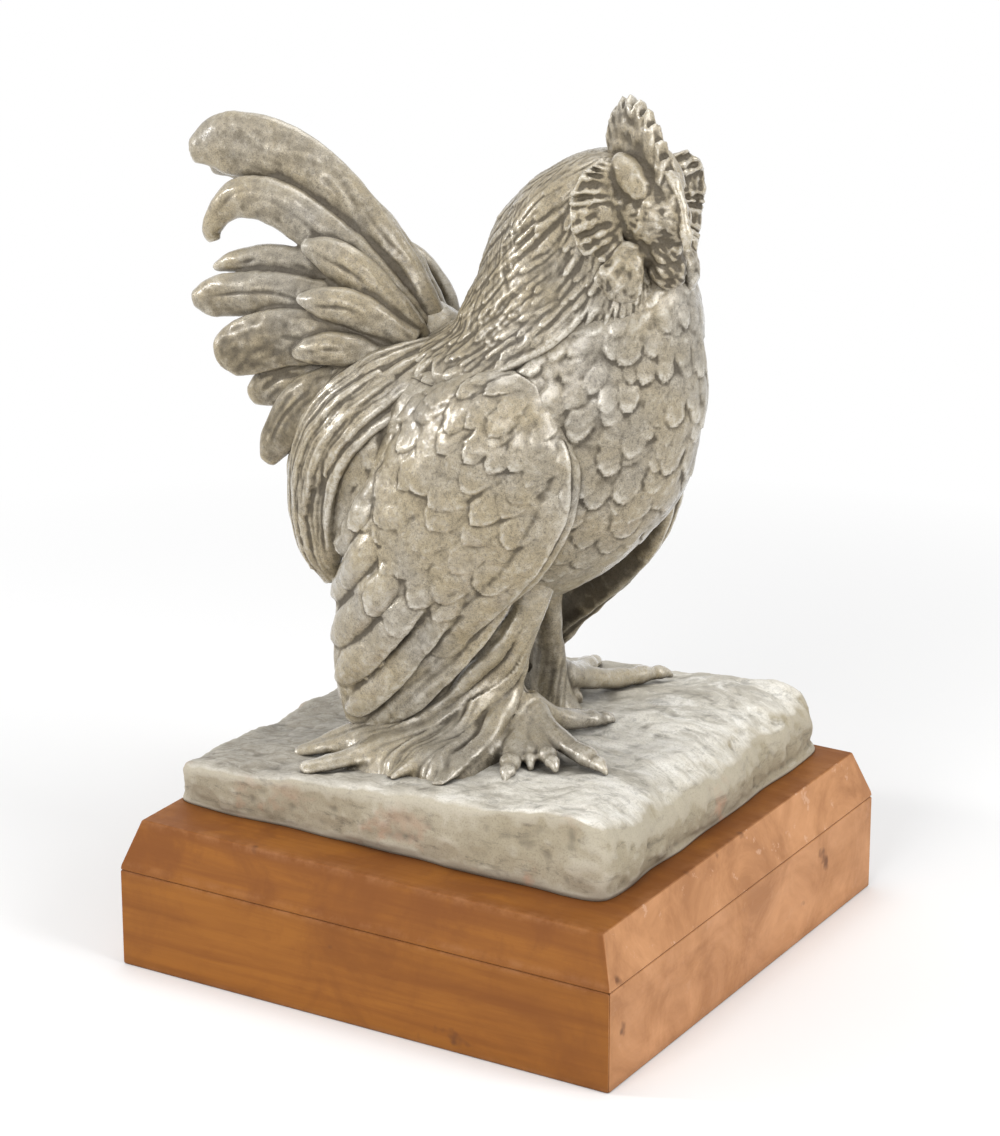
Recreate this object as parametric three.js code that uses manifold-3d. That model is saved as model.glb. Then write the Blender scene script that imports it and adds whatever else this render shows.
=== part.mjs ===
// A feather-footed rooster in fired clay, standing on its own ground slab on a bevelled wooden plinth.
// Millimetres, +Z up. The bird faces +X and its right side faces -Y. Every clay section is a separate
// solid, luted to its neighbour with a thin line of slip, and the plinth is a mitred frame under a board.
import * as THREE from "three";
import { mergeVertices } from "three/addons/utils/BufferGeometryUtils.js";
import Module from "manifold-3d";

const wasm = await Module();
wasm.setup();

// Plinth, in the wood that it is sawn from
const PLINTH_LENGTH = 360;
const PLINTH_DEPTH = 360;
const RAIL_HEIGHT = 66;
const RAIL_THICKNESS = 20;
const TOP_THICKNESS = 33;
const TOP_LIP = 4;
const TOP_BEVEL = 10.5;
const CORNER_BLOCK_SIDE = 32;
const CORNER_BLOCK_HEIGHT = 50;
const SCREW_DIAMETER = 5;
const SCREW_HEAD_DIAMETER = 10;
const SCREW_HEAD_HEIGHT = 3;
const SCREW_BITE = 16;
const SCREW_CLEARANCE = 0.4;

// Ground slab, hollowed from below
const GROUND_LENGTH = 322;
const GROUND_DEPTH = 302;
const GROUND_OFFSET_X = -11;
const GROUND_OFFSET_Y = 17;
const GROUND_RIM = 33.5;
const GROUND_CROWN = 8;
const GROUND_RISE = 29;
const GROUND_FALL = 4;
const GROUND_BANK = 12;
const GROUND_BANK_START = 0.7;
const GROUND_EDGE_ROUND = 14;
const GROUND_WALL = 26;
const GROUND_ROOF = 15;
const GROUND_SQUARENESS = 22;

// Bird's trunk
const BODY_LENGTH = 248;
const BODY_WIDTH = 154;
const BODY_CLEARANCE = 133;
const TRUNK_HEIGHT = 299;
const CLAY_WALL = 13;
const VENT_DIAMETER = 16;
const NECK_LENGTH = 92;
const NECK_JOINT_SLOPE = 0.3;

// Wings, tail and legs
const WING_THICKNESS = 32;
const WING_CURL = 18;
const FEATHER_THICKNESS = 13;
const LEFT_WING_DROP = 20;
const LEFT_TAIL_DROP = 12;
const SHANK_DIAMETER = 18;
const TOE_DIAMETER = 15;

// Head
const HEAD_LENGTH = 74;
const HEAD_WIDTH = 52;
const HEAD_HEIGHT = 68;
const HEAD_TURN = THREE.MathUtils.degToRad(-22);
const HEAD_OFFSET_Y = -8;
const COMB_THICKNESS = 12;
const LOBE_THICKNESS = 8;
const EYE_DIAMETER = 13;

// Fit between neighbours
const SLIP_GAP = 0.3;
const GLUE_GAP = 0.05;

// Plain materials of the bench model
const clay = new THREE.MeshStandardMaterial({ color: 0xa9a08c, roughness: 0.55, metalness: 0.1 });
const wood = new THREE.MeshStandardMaterial({ color: 0x9a5a25, roughness: 0.5, metalness: 0 });
const blockWood = new THREE.MeshStandardMaterial({ color: 0xb98a55, roughness: 0.8, metalness: 0 });
const steel = new THREE.MeshStandardMaterial({ color: 0x77746e, roughness: 0.4, metalness: 0.9 });

const PLINTH_HEIGHT = RAIL_HEIGHT + GLUE_GAP + TOP_THICKNESS;
const vec = (x, y, z) => new THREE.Vector3(x, y, z);

// Solids and meshes

// A geometry with only merged positions, without the triangles that closed up at a pole.
function welded(geometry) {
  const bare = geometry.clone();
  for (const name of Object.keys(bare.attributes)) if (name !== "position") bare.deleteAttribute(name);
  const merged = mergeVertices(bare, 1e-4);
  const kept = [];
  const index = merged.index.array;
  for (let i = 0; i < index.length; i += 3) {
    const [a, b, c] = [index[i], index[i + 1], index[i + 2]];
    if (a !== b && b !== c && a !== c) kept.push(a, b, c);
  }
  merged.setIndex(kept);
  return merged;
}

function solid(geometry) {
  const merged = welded(geometry);
  return new wasm.Manifold(
    new wasm.Mesh({
      numProp: 3,
      vertProperties: new Float32Array(merged.attributes.position.array),
      triVerts: new Uint32Array(merged.index.array),
    }),
  );
}

// The same geometry with its skin moved out, or in where the distance is negative.
function swollen(geometry, distance) {
  const merged = welded(geometry);
  merged.computeVertexNormals();
  const { position, normal } = merged.attributes;
  for (let i = 0; i < position.count; i++) {
    position.setXYZ(
      i,
      position.getX(i) + normal.getX(i) * distance,
      position.getY(i) + normal.getY(i) * distance,
      position.getZ(i) + normal.getZ(i) * distance,
    );
  }
  return merged;
}

// The largest body of a cut solid, so that a crumb past a neighbour is dropped.
function largest(manifold) {
  return manifold.decompose().reduce((a, b) => (b.volume() > a.volume() ? b : a));
}

function geometryOf(manifold) {
  const mesh = manifold.getMesh();
  const points = new Float32Array(mesh.numVert * 3);
  for (let i = 0; i < mesh.numVert; i++) {
    points.set(mesh.vertProperties.subarray(i * mesh.numProp, i * mesh.numProp + 3), i * 3);
  }
  const geometry = new THREE.BufferGeometry();
  geometry.setAttribute("position", new THREE.BufferAttribute(points, 3));
  geometry.setIndex(new THREE.BufferAttribute(new Uint32Array(mesh.triVerts), 1));
  geometry.computeVertexNormals();
  return geometry;
}

function meshOf(name, geometry, material) {
  const mesh = new THREE.Mesh(geometry, material.clone());
  mesh.name = name;
  return mesh;
}

function mirrored(geometry) {
  const copy = welded(geometry).applyMatrix4(new THREE.Matrix4().makeScale(1, -1, 1));
  const index = copy.index.array;
  for (let i = 0; i < index.length; i += 3) [index[i + 1], index[i + 2]] = [index[i + 2], index[i + 1]];
  return copy;
}

// Skins over rings

// A closed skin over rings of equal count, each end closed by a fan.
function skin(rings) {
  const count = rings[0].length;
  const points = rings.flat();
  const middleOf = (ring) => ring.reduce((sum, p) => sum.add(p), vec(0, 0, 0)).divideScalar(count);
  const first = points.push(middleOf(rings[0])) - 1;
  const last = points.push(middleOf(rings.at(-1))) - 1;
  const faces = [];
  for (let i = 0; i < count; i++) {
    const j = (i + 1) % count;
    faces.push(first, j, i);
    for (let r = 0; r + 1 < rings.length; r++) {
      const [low, high] = [r * count, (r + 1) * count];
      faces.push(low + i, low + j, high + j, low + i, high + j, high + i);
    }
    const top = (rings.length - 1) * count;
    faces.push(last, top + i, top + j);
  }
  return new THREE.BufferGeometry().setFromPoints(points).setIndex(faces);
}

// Rows of numbers, eased through by a cubic so that a few stations make a smooth form.
function eased(rows, steps) {
  const times = rows.map((_, i) => i);
  const through = new THREE.CubicInterpolant(times, rows.flat(), rows[0].length);
  return Array.from({ length: steps + 1 }, (_, i) =>
    Array.from(through.evaluate((i / steps) * (rows.length - 1))),
  );
}

// A limb, feather or trunk: each station is x, y, z, half breadth and half thickness. The flat side faces
// `flat`, and `curl` draws the two edges of each section inwards, against it. Level sections don't lean
// with the path.
function limb(stations, { flat = vec(0, -1, 0), sides = 10, steps = 9, curl = 0, level = false } = {}) {
  const rows = eased(stations, steps);
  const path = rows.map(([x, y, z]) => vec(x, y, z));
  const rings = rows.map(([, , , breadth, thickness], i) => {
    const lean = path[Math.min(i + 1, steps)].clone().sub(path[Math.max(i - 1, 0)]).normalize();
    const course = level ? vec(0, 0, 1) : lean;
    const out = flat.clone().addScaledVector(course, -flat.dot(course)).normalize();
    const wide = out.clone().cross(course).normalize();
    const fullness = breadth / Math.max(...stations.map((s) => s[3]));
    return Array.from({ length: sides }, (_, k) => {
      const turn = (k / sides) * 2 * Math.PI;
      const drawn = curl * fullness * Math.cos(turn) ** 2;
      return path[i]
        .clone()
        .addScaledVector(wide, breadth * Math.cos(turn))
        .addScaledVector(out, thickness * Math.sin(turn) - drawn);
    });
  });
  const geometry = skin(rings);
  return solid(geometry).volume() < 0 ? skin(rings.map((ring) => ring.slice().reverse())) : geometry;
}

// Plinth

function plinthRails() {
  const outline = (length) => {
    const half = length / 2 - GLUE_GAP;
    const shape = new THREE.Shape();
    shape.moveTo(-half, 0);
    shape.lineTo(half, 0);
    shape.lineTo(half - RAIL_THICKNESS, RAIL_THICKNESS);
    shape.lineTo(-half + RAIL_THICKNESS, RAIL_THICKNESS);
    return new THREE.ExtrudeGeometry(shape, { depth: RAIL_HEIGHT, bevelEnabled: false });
  };
  const places = [
    ["front_rail", PLINTH_LENGTH, vec(0, -PLINTH_DEPTH / 2, 0), 0],
    ["right_rail", PLINTH_DEPTH, vec(PLINTH_LENGTH / 2, 0, 0), Math.PI / 2],
    ["back_rail", PLINTH_LENGTH, vec(0, PLINTH_DEPTH / 2, 0), Math.PI],
    ["left_rail", PLINTH_DEPTH, vec(-PLINTH_LENGTH / 2, 0, 0), -Math.PI / 2],
  ];
  return places.map(([name, length, place, turn]) => {
    const mesh = meshOf(name, outline(length), wood);
    mesh.position.copy(place);
    mesh.rotation.z = turn;
    return mesh;
  });
}

// The four inner corners, where a glue block and its screw stand.
function plinthCorners() {
  const inset = RAIL_THICKNESS + GLUE_GAP + CORNER_BLOCK_SIDE / 2;
  const [x, y] = [PLINTH_LENGTH / 2 - inset, PLINTH_DEPTH / 2 - inset];
  return [vec(x, -y, 0), vec(x, y, 0), vec(-x, y, 0), vec(-x, -y, 0)];
}

function screwGeometry(swell) {
  const shank = SCREW_DIAMETER / 2 + swell;
  const head = SCREW_HEAD_DIAMETER / 2 + swell;
  const top = CORNER_BLOCK_HEIGHT + SCREW_BITE + GLUE_GAP + swell;
  const profile = [
    [0, -SCREW_HEAD_HEIGHT - swell],
    [head, -SCREW_HEAD_HEIGHT - swell],
    [head, -swell],
    [shank, -swell],
    [shank, top - SCREW_DIAMETER],
    [0, top],
  ].map(([radius, height]) => new THREE.Vector2(radius, height));
  return new THREE.LatheGeometry(profile, 12).rotateX(Math.PI / 2);
}

function plinthTop() {
  const slab = (inset, height) =>
    [
      [-1, -1],
      [1, -1],
      [1, 1],
      [-1, 1],
    ].map(([sx, sy]) => vec(sx * (PLINTH_LENGTH / 2 - inset), sy * (PLINTH_DEPTH / 2 - inset), height));
  const board = skin([slab(0, 0), slab(0, TOP_LIP), slab(TOP_BEVEL, TOP_THICKNESS)]);
  const blockBottom = -CORNER_BLOCK_HEIGHT - GLUE_GAP;
  return plinthCorners().reduce((rest, corner) => {
    const screw = screwGeometry(SCREW_CLEARANCE).translate(corner.x, corner.y, blockBottom);
    return rest.subtract(solid(screw));
  }, solid(board));
}

function plinth() {
  const group = new THREE.Group();
  group.add(...plinthRails());
  const top = meshOf("top_board", geometryOf(plinthTop()), wood);
  top.position.z = RAIL_HEIGHT + GLUE_GAP;
  group.add(top);
  plinthCorners().forEach((corner, i) => {
    const bottom = RAIL_HEIGHT - CORNER_BLOCK_HEIGHT;
    const box = new THREE.BoxGeometry(CORNER_BLOCK_SIDE, CORNER_BLOCK_SIDE, CORNER_BLOCK_HEIGHT);
    box.translate(0, 0, CORNER_BLOCK_HEIGHT / 2);
    const block = solid(box).subtract(solid(screwGeometry(SCREW_CLEARANCE)));
    const blockMesh = meshOf(`corner_block_${i + 1}`, geometryOf(block), blockWood);
    const screwMesh = meshOf(`top_screw_${i + 1}`, screwGeometry(0), steel);
    blockMesh.position.set(corner.x, corner.y, bottom);
    screwMesh.position.set(corner.x, corner.y, bottom - SCREW_CLEARANCE);
    group.add(blockMesh, screwMesh);
  });
  return group;
}

// Ground slab

// Share of the way from the slab's middle to its edge.
function groundShare(x, y) {
  const u = Math.abs((x - GROUND_OFFSET_X) / (GROUND_LENGTH / 2));
  const v = Math.abs((y - GROUND_OFFSET_Y) / (GROUND_DEPTH / 2));
  return (u ** GROUND_SQUARENESS + v ** GROUND_SQUARENESS) ** (1 / GROUND_SQUARENESS);
}

// Height of the modelled ground above the plinth: crowned in the middle, rising to the right, falling a little to
// the back, and banked down to the right edge.
function groundHeight(x, y) {
  const crown = GROUND_CROWN * (1 - Math.min(1, groundShare(x, y)) ** 2);
  const rise = ((x - GROUND_OFFSET_X) / GROUND_LENGTH) * GROUND_RISE;
  const fall = ((y - GROUND_OFFSET_Y) / GROUND_DEPTH) * GROUND_FALL;
  const far = (x - GROUND_OFFSET_X) / (GROUND_LENGTH / 2) - GROUND_BANK_START;
  const bank = GROUND_BANK * Math.max(0, far / (1 - GROUND_BANK_START)) ** 2;
  return GROUND_RIM + crown + rise - fall - bank;
}

function groundRing(inset, heightAt, sides = 32) {
  return Array.from({ length: sides }, (_, i) => {
    const turn = (i / sides) * 2 * Math.PI;
    const square = (value) => Math.sign(value) * Math.abs(value) ** (2 / GROUND_SQUARENESS);
    const x = GROUND_OFFSET_X + square(Math.cos(turn)) * (GROUND_LENGTH / 2 - inset);
    const y = GROUND_OFFSET_Y + square(Math.sin(turn)) * (GROUND_DEPTH / 2 - inset);
    return vec(x, y, heightAt(x, y));
  });
}

function groundGeometry() {
  const flat = (height) => () => height;
  const edge = (x, y) => groundHeight(x, y) - GROUND_EDGE_ROUND;
  const shoulder = (x, y) => groundHeight(x, y) - GROUND_EDGE_ROUND * 0.3;
  return skin([
    groundRing(2, flat(SLIP_GAP)),
    groundRing(0, flat(6)),
    groundRing(1, edge),
    groundRing(GROUND_EDGE_ROUND * 0.5, shoulder),
    groundRing(GROUND_EDGE_ROUND * 1.4, groundHeight),
    groundRing(GROUND_LENGTH * 0.2, groundHeight),
    groundRing(GROUND_LENGTH * 0.38, groundHeight),
  ]);
}

function groundHollow() {
  const roof = (x, y) => groundHeight(x, y) - GROUND_ROOF;
  return skin([groundRing(GROUND_WALL, () => -1, 24), groundRing(GROUND_WALL + 3, roof, 24)]);
}

// Trunk: breast, back, belly and neck as one lathe-like form of level sections

// Share of the trunk's height, then middle and half length as shares of half the body's length, and half
// width as a share of half the body's width.
const TRUNK_SECTIONS = [
  [0.0, 0.06, 0.16, 0.26],
  [0.03, 0.02, 0.34, 0.49],
  [0.08, -0.04, 0.59, 0.72],
  [0.165, -0.065, 0.84, 0.89],
  [0.28, -0.02, 1.0, 0.99],
  [0.415, 0.09, 0.985, 1.0],
  [0.515, 0.26, 0.84, 0.94],
  [0.6, 0.42, 0.66, 0.83],
  [0.65, 0.45, 0.63, 0.78],
  [0.715, 0.485, 0.58, 0.72],
  [0.81, 0.5, 0.52, 0.65],
  [0.89, 0.535, 0.4, 0.56],
  [0.95, 0.605, 0.3, 0.455],
  [0.985, 0.645, 0.19, 0.29],
  [1.0, 0.66, 0.08, 0.13],
];

// Where the trunk's middle is along X, at a height above the plinth.
function trunkMiddle(height) {
  const share = (height - BODY_CLEARANCE) / TRUNK_HEIGHT;
  const above = TRUNK_SECTIONS.findIndex((row) => row[0] >= share);
  const [low, high] = [TRUNK_SECTIONS[above - 1], TRUNK_SECTIONS[above]];
  return (THREE.MathUtils.mapLinear(share, low[0], high[0], low[1], high[1]) * BODY_LENGTH) / 2;
}

function trunkGeometry() {
  const stations = TRUNK_SECTIONS.map(([share, middle, length, width]) => [
    (middle * BODY_LENGTH) / 2,
    0,
    BODY_CLEARANCE + share * TRUNK_HEIGHT,
    (length * BODY_LENGTH) / 2,
    (width * BODY_WIDTH) / 2,
  ]);
  return limb(stations, { sides: 20, steps: 15, level: true });
}

// Everything above the slanting joint of the neck, or below it.
function neckCutter(above) {
  const span = 3 * (BODY_LENGTH + TRUNK_HEIGHT);
  const box = new THREE.BoxGeometry(span, span, span);
  box.translate(0, 0, above ? span / 2 : -span / 2);
  box.rotateY(-Math.atan(NECK_JOINT_SLOPE));
  const joint = BODY_CLEARANCE + TRUNK_HEIGHT - NECK_LENGTH;
  return box.translate((0.35 * BODY_LENGTH) / 2, 0, joint + (above ? 0 : SLIP_GAP));
}

function halfCutter(sign) {
  const span = 3 * (BODY_LENGTH + TRUNK_HEIGHT);
  return new THREE.BoxGeometry(span, span, span).translate(0, sign * (span / 2 - SLIP_GAP / 2), 0);
}

function ventGeometry() {
  const vent = new THREE.CylinderGeometry(VENT_DIAMETER / 2, VENT_DIAMETER / 2, 8 * CLAY_WALL, 16);
  return vent.rotateX(Math.PI / 2).translate(0, 0, BODY_CLEARANCE);
}

// Right side parts, mirrored for the left

// Places on the trunk: a share of half its length or width, a distance out from its widest line, and a
// share of its height.
const along = (share) => (share * BODY_LENGTH) / 2;
const across = (share) => (share * BODY_WIDTH) / 2;
const side = (outset) => -(BODY_WIDTH / 2 + outset);
const up = (share) => BODY_CLEARANCE + share * TRUNK_HEIGHT;

function wingGeometry() {
  const half = WING_THICKNESS / 2;
  const stations = [
    [along(0.43), side(-16), up(0.555), 16, half * 0.6],
    [along(0.36), side(-6), up(0.49), 46, half],
    [along(0.26), side(1), up(0.39), 65, half],
    [along(0.1), side(3), up(0.265), 73, half * 0.94],
    [along(-0.11), side(2), up(0.13), 66, half * 0.82],
    [along(-0.31), side(0), up(-0.01), 52, half * 0.68],
    [along(-0.455), side(-2), up(-0.135), 37, half * 0.55],
    [along(-0.56), side(-5), up(-0.235), 20, half * 0.4],
    [along(-0.6), side(-7), up(-0.268), 8, half * 0.25],
  ];
  return limb(stations, { sides: 12, steps: 11, curl: WING_CURL });
}

function saddleGeometry() {
  const stations = [
    [along(-0.22), across(-0.18), up(0.55), 16, 8],
    [along(-0.38), across(-0.55), up(0.52), 26, 11],
    [along(-0.58), across(-0.75), up(0.46), 31, 13],
    [along(-0.74), across(-0.8), up(0.38), 33, 14],
    [along(-0.84), across(-0.78), up(0.28), 32, 14],
    [along(-0.88), across(-0.73), up(0.17), 28, 13],
    [along(-0.86), across(-0.68), up(0.08), 21, 11],
    [along(-0.81), across(-0.64), up(0.02), 8, 6],
  ];
  return limb(stations, { flat: vec(-0.55, -0.83, 0.1), sides: 10, steps: 8, curl: 8 });
}

// The tail's feathers on the right, from the top one down. Each station is x from the tail's root, y from
// the middle of the bird, z from the root, and half breadth.
const TAIL_FEATHERS = {
  top_sickle: [
    [12, -5, -10, 7],
    [-10, -9, 32, 11],
    [-35, -10, 60, 15],
    [-64, -10, 83, 18],
    [-93, -10, 98, 20],
    [-124, -10, 104, 21],
    [-151, -10, 104, 20],
    [-172, -10, 96, 8],
  ],
  hooked_sickle: [
    [8, -14, -12, 7],
    [-17, -22, 27, 10],
    [-46, -23, 49, 12],
    [-75, -24, 64, 14],
    [-101, -24, 74, 14.5],
    [-124, -24, 73, 13],
    [-140, -24, 63, 10],
    [-148, -24, 50, 7],
    [-146, -24, 42, 4],
  ],
  sickle_covert: [
    [6, -22, -4, 6],
    [-10, -33, 24, 11],
    [-29, -36, 40, 12],
    [-52, -36, 49, 11],
    [-69, -35, 52, 4],
  ],
  fine_quill: [
    [-12, -22, 14, 6],
    [-55, -28, 28, 8],
    [-92, -30, 30, 8],
    [-123, -30, 29, 7],
    [-141, -30, 26, 3],
  ],
  upper_quill: [
    [4, -24, -6, 7],
    [-33, -38, 15, 12],
    [-68, -41, 18, 14],
    [-106, -42, 16, 15],
    [-137, -42, 10, 13],
    [-151, -42, 7, 6],
  ],
  quill_covert: [
    [12, -24, -6, 6],
    [-25, -51, 22, 8],
    [-45, -53, 22, 8],
    [-62, -52, 22, 3],
  ],
  middle_quill: [
    [8, -26, -20, 8],
    [-35, -49, -1, 13],
    [-68, -54, -4, 18],
    [-98, -55, -13, 19],
    [-115, -55, -22, 16],
    [-122, -55, -27, 7],
  ],
  under_quill: [
    [-8, -24, -26, 10],
    [-65, -46, -30, 14],
    [-91, -47, -42, 13],
    [-103, -47, -49, 6],
  ],
  hanging_quill: [
    [-4, -32, -26, 9],
    [-36, -58, -33, 14],
    [-60, -61, -50, 16],
    [-76, -60, -71, 13],
    [-85, -58, -87, 6],
  ],
};

// Where the tail springs from the back.
const tailRoot = () => vec(along(-0.47), 0, up(0.566));

function featherGeometry(rows) {
  const root = tailRoot();
  const depth = FEATHER_THICKNESS / 2;
  const stations = rows.map(([x, y, z, breadth], i) => {
    const tip = i + 1 === rows.length ? 0.5 : 1;
    return [root.x + x, y, root.z + z, breadth, depth * tip];
  });
  return limb(stations, { flat: vec(0.05, -1, 0.12), sides: 8, steps: 7 });
}

function tailRootGeometry() {
  const root = tailRoot();
  const stations = [
    [root.x + 34, 0, root.z - 26, 20, 18],
    [root.x + 8, 0, root.z - 14, 34, 27],
    [root.x - 24, 0, root.z - 20, 44, 33],
    [root.x - 48, 0, root.z - 36, 40, 32],
    [root.x - 64, 0, root.z - 54, 16, 14],
  ];
  return limb(stations, { sides: 10, steps: 6 });
}

// Legs: a shank from the belly to the ground, toes over the ground, and feathering behind the shank

// `bow` moves the middle of the shank off the straight line. The ankle, and the ends of toes and plumes,
// are shares of the way from the slab's middle to its edges.
const RIGHT_LEG = {
  hip: vec(along(0.37), across(-0.47), up(0.05)),
  bow: vec(-4, 0, 0),
  ankle: [0.257, -0.286],
  toes: [
    [0.403, -0.712],
    [0.521, -0.516],
    [0.734, -0.472],
    [0.457, 0.115],
  ],
  plumes: [
    [-0.588, -0.694],
    [-0.4, -0.9],
    [-0.045, -0.869],
    [0.19, -0.92],
  ],
};
const LEFT_LEG = {
  hip: vec(along(0.12), across(0.45), up(0.05)),
  bow: vec(-2, 2, 0),
  ankle: [0.139, 0.149],
  toes: [
    [-0.04, 0.92],
    [0.356, 0.839],
    [0.222, 0.267],
    [-0.225, 0.479],
  ],
  plumes: [
    [-0.735, 0.587],
    [-0.588, 0.823],
    [-0.303, 0.806],
  ],
};

// A spot over the ground, by its shares of the slab.
function groundSpot([shareX, shareY], lift) {
  const x = GROUND_OFFSET_X + (shareX * GROUND_LENGTH) / 2;
  const y = GROUND_OFFSET_Y + (shareY * GROUND_DEPTH) / 2;
  return vec(x, y, groundHeight(x, y) + lift);
}

function shankGeometry({ hip, bow, ankle }) {
  const radius = SHANK_DIAMETER / 2;
  const foot = groundSpot(ankle, 4);
  const low = groundSpot(ankle, 20).addScaledVector(bow, 0.4);
  const mid = groundSpot(ankle, 20).lerp(hip, 0.5).add(bow);
  const high = hip.clone().add(vec(4, 0, 44));
  const row = (point, share) => [...point, radius * share * 1.15, radius * share];
  const stations = [row(foot, 1.5), row(low, 1.25), row(mid, 1), row(hip, 1.25), row(high, 1.9)];
  return limb(stations, { sides: 8, steps: 6 });
}

function footGeometries({ ankle, toes }) {
  const radius = TOE_DIAMETER / 2;
  const sole = groundSpot(ankle, 6);
  const pad = new THREE.SphereGeometry(SHANK_DIAMETER * 0.65, 8, 6).translate(...sole);
  const spread = toes.map((tip) => {
    const row = (share, lift, girth) => {
      const spot = ankle.map((start, i) => THREE.MathUtils.lerp(start, tip[i], share));
      return [...groundSpot(spot, lift), radius * girth, radius * girth];
    };
    const stations = [
      row(0, 8, 1.1),
      row(0.3, 6, 1),
      row(0.62, 3, 0.9),
      row(0.84, 1, 0.7),
      row(1, -2, 0.3),
    ];
    return limb(stations, { flat: vec(0, 0, 1), sides: 6, steps: 5 });
  });
  return [pad, ...spread];
}

function plumeGeometries({ hip, bow, ankle, plumes }) {
  const spring = hip.clone().lerp(groundSpot(ankle, 20), 0.2).addScaledVector(bow, 0.7);
  return plumes.map((end) => {
    const tip = groundSpot(end, 0);
    const row = (share, sag, breadth, depth) => {
      const point = spring.clone().lerp(tip, share).add(vec(0, 0, -sag));
      return [...point, breadth, depth];
    };
    const outward = tip.clone().sub(spring).setZ(0).normalize();
    const stations = [
      row(0, 0, 7, 8),
      row(0.3, 14, 13, 9),
      row(0.62, 17, 16, 9),
      row(0.88, 5, 11, 7),
      row(1, -1, 3, 3),
    ];
    return limb(stations, { flat: vec(outward.x * 0.5, outward.y * 0.5, 1), sides: 6, steps: 6 });
  });
}

// Head, in its own frame: +X to the beak, +Z up, before it is turned and set on the neck

// A point by its shares of half the skull's length, width and height.
const face = (forward, sideways, upward) =>
  vec((forward * HEAD_LENGTH) / 2, (sideways * HEAD_WIDTH) / 2, (upward * HEAD_HEIGHT) / 2);

function onHead(geometry) {
  const nape = trunkMiddle(up(0.9));
  const place = new THREE.Matrix4().makeTranslation(nape + along(0.25), HEAD_OFFSET_Y, up(0.905));
  return geometry.applyMatrix4(place.multiply(new THREE.Matrix4().makeRotationZ(HEAD_TURN)));
}

function headGeometry() {
  const skull = new THREE.SphereGeometry(1, 14, 10);
  return onHead(skull.scale(HEAD_LENGTH / 2, HEAD_WIDTH / 2, HEAD_HEIGHT / 2));
}

// A limb on the head: each row is forward, sideways, upward, then half breadth as a share of half the skull's
// height and half thickness as a share of half its width.
function faceLimb(rows, options) {
  const stations = rows.map(([forward, sideways, upward, breadth, thickness]) => [
    ...face(forward, sideways, upward),
    (breadth * HEAD_HEIGHT) / 2,
    (thickness * HEAD_WIDTH) / 2,
  ]);
  return onHead(limb(stations, options));
}

function upperBeakGeometry() {
  const rows = [
    [0.6, 0, 0.2, 0.42, 0.45],
    [0.88, 0, 0.06, 0.35, 0.4],
    [1.08, 0, -0.14, 0.26, 0.3],
    [1.22, 0, -0.42, 0.155, 0.18],
    [1.3, 0, -0.64, 0.046, 0.06],
  ];
  return faceLimb(rows, { sides: 8, steps: 6 });
}

function lowerBeakGeometry() {
  const rows = [
    [0.5, 0, -0.5, 0.28, 0.4],
    [0.86, 0, -0.58, 0.22, 0.3],
    [1.06, 0, -0.68, 0.14, 0.2],
    [1.14, 0, -0.8, 0.046, 0.08],
  ];
  return faceLimb(rows, { sides: 8, steps: 5 });
}

// A saw-toothed blade over the skull, high at the back and low over the beak.
function combGeometry() {
  const teeth = 8;
  const crest = new THREE.CatmullRomCurve3([
    face(-0.62, 0, 1.3),
    face(-0.3, 0, 1.72),
    face(0.02, 0, 1.7),
    face(0.3, 0, 1.5),
    face(0.52, 0, 1.2),
    face(0.7, 0, 0.85),
    face(0.86, 0, 0.3),
  ]);
  const toothHeight = 0.13 * HEAD_HEIGHT;
  const heel = face(-0.62, 0, 0.85);
  const brow = face(0.7, 0, 0.1);
  const shape = new THREE.Shape();
  shape.moveTo(heel.x, heel.z);
  for (let i = 0; i < teeth; i++) {
    const notch = crest.getPoint(i / teeth);
    const point = crest.getPoint((i + 0.5) / teeth);
    const outward = crest.getTangent((i + 0.5) / teeth);
    shape.lineTo(notch.x, notch.z);
    shape.lineTo(point.x - outward.z * toothHeight, point.z + outward.x * toothHeight);
  }
  const end = crest.getPoint(1);
  shape.lineTo(end.x, end.z);
  shape.lineTo(brow.x, brow.z);
  shape.lineTo(0, HEAD_HEIGHT * 0.3);
  const bevel = COMB_THICKNESS * 0.25;
  const blade = new THREE.ExtrudeGeometry(shape, {
    depth: COMB_THICKNESS - 2 * bevel,
    bevelThickness: bevel,
    bevelSize: 1,
    bevelSegments: 1,
  });
  return onHead(blade.translate(0, 0, -COMB_THICKNESS / 2 + bevel).rotateX(Math.PI / 2));
}

// A pleated flap that stands out from the cheek like half a scallop shell.
function lobeGeometry(sign) {
  const pleats = 7;
  const reach = HEAD_WIDTH * 0.58;
  const tall = HEAD_HEIGHT * 0.5;
  const shape = new THREE.Shape();
  shape.moveTo(-reach * 0.3, -tall * 0.7);
  for (let i = 0; i <= pleats; i++) {
    const turn = THREE.MathUtils.lerp(-0.5, 0.5, i / pleats) * Math.PI;
    const crest = THREE.MathUtils.lerp(-0.5, 0.5, (i + 0.5) / pleats) * Math.PI;
    shape.lineTo(reach * 0.9 * Math.cos(turn), tall * 0.92 * Math.sin(turn));
    if (i < pleats) shape.lineTo(reach * 1.04 * Math.cos(crest), tall * 1.04 * Math.sin(crest));
  }
  shape.lineTo(-reach * 0.3, tall * 0.7);
  const flap = new THREE.ExtrudeGeometry(shape, { depth: LOBE_THICKNESS, bevelEnabled: false });
  flap.translate(0, 0, -LOBE_THICKNESS / 2).rotateX(Math.PI / 2);
  flap.rotateZ(sign * THREE.MathUtils.degToRad(98));
  const cheek = face(0.05, sign * 0.86, 0.02);
  return onHead(flap.translate(cheek.x, cheek.y, cheek.z));
}

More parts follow.
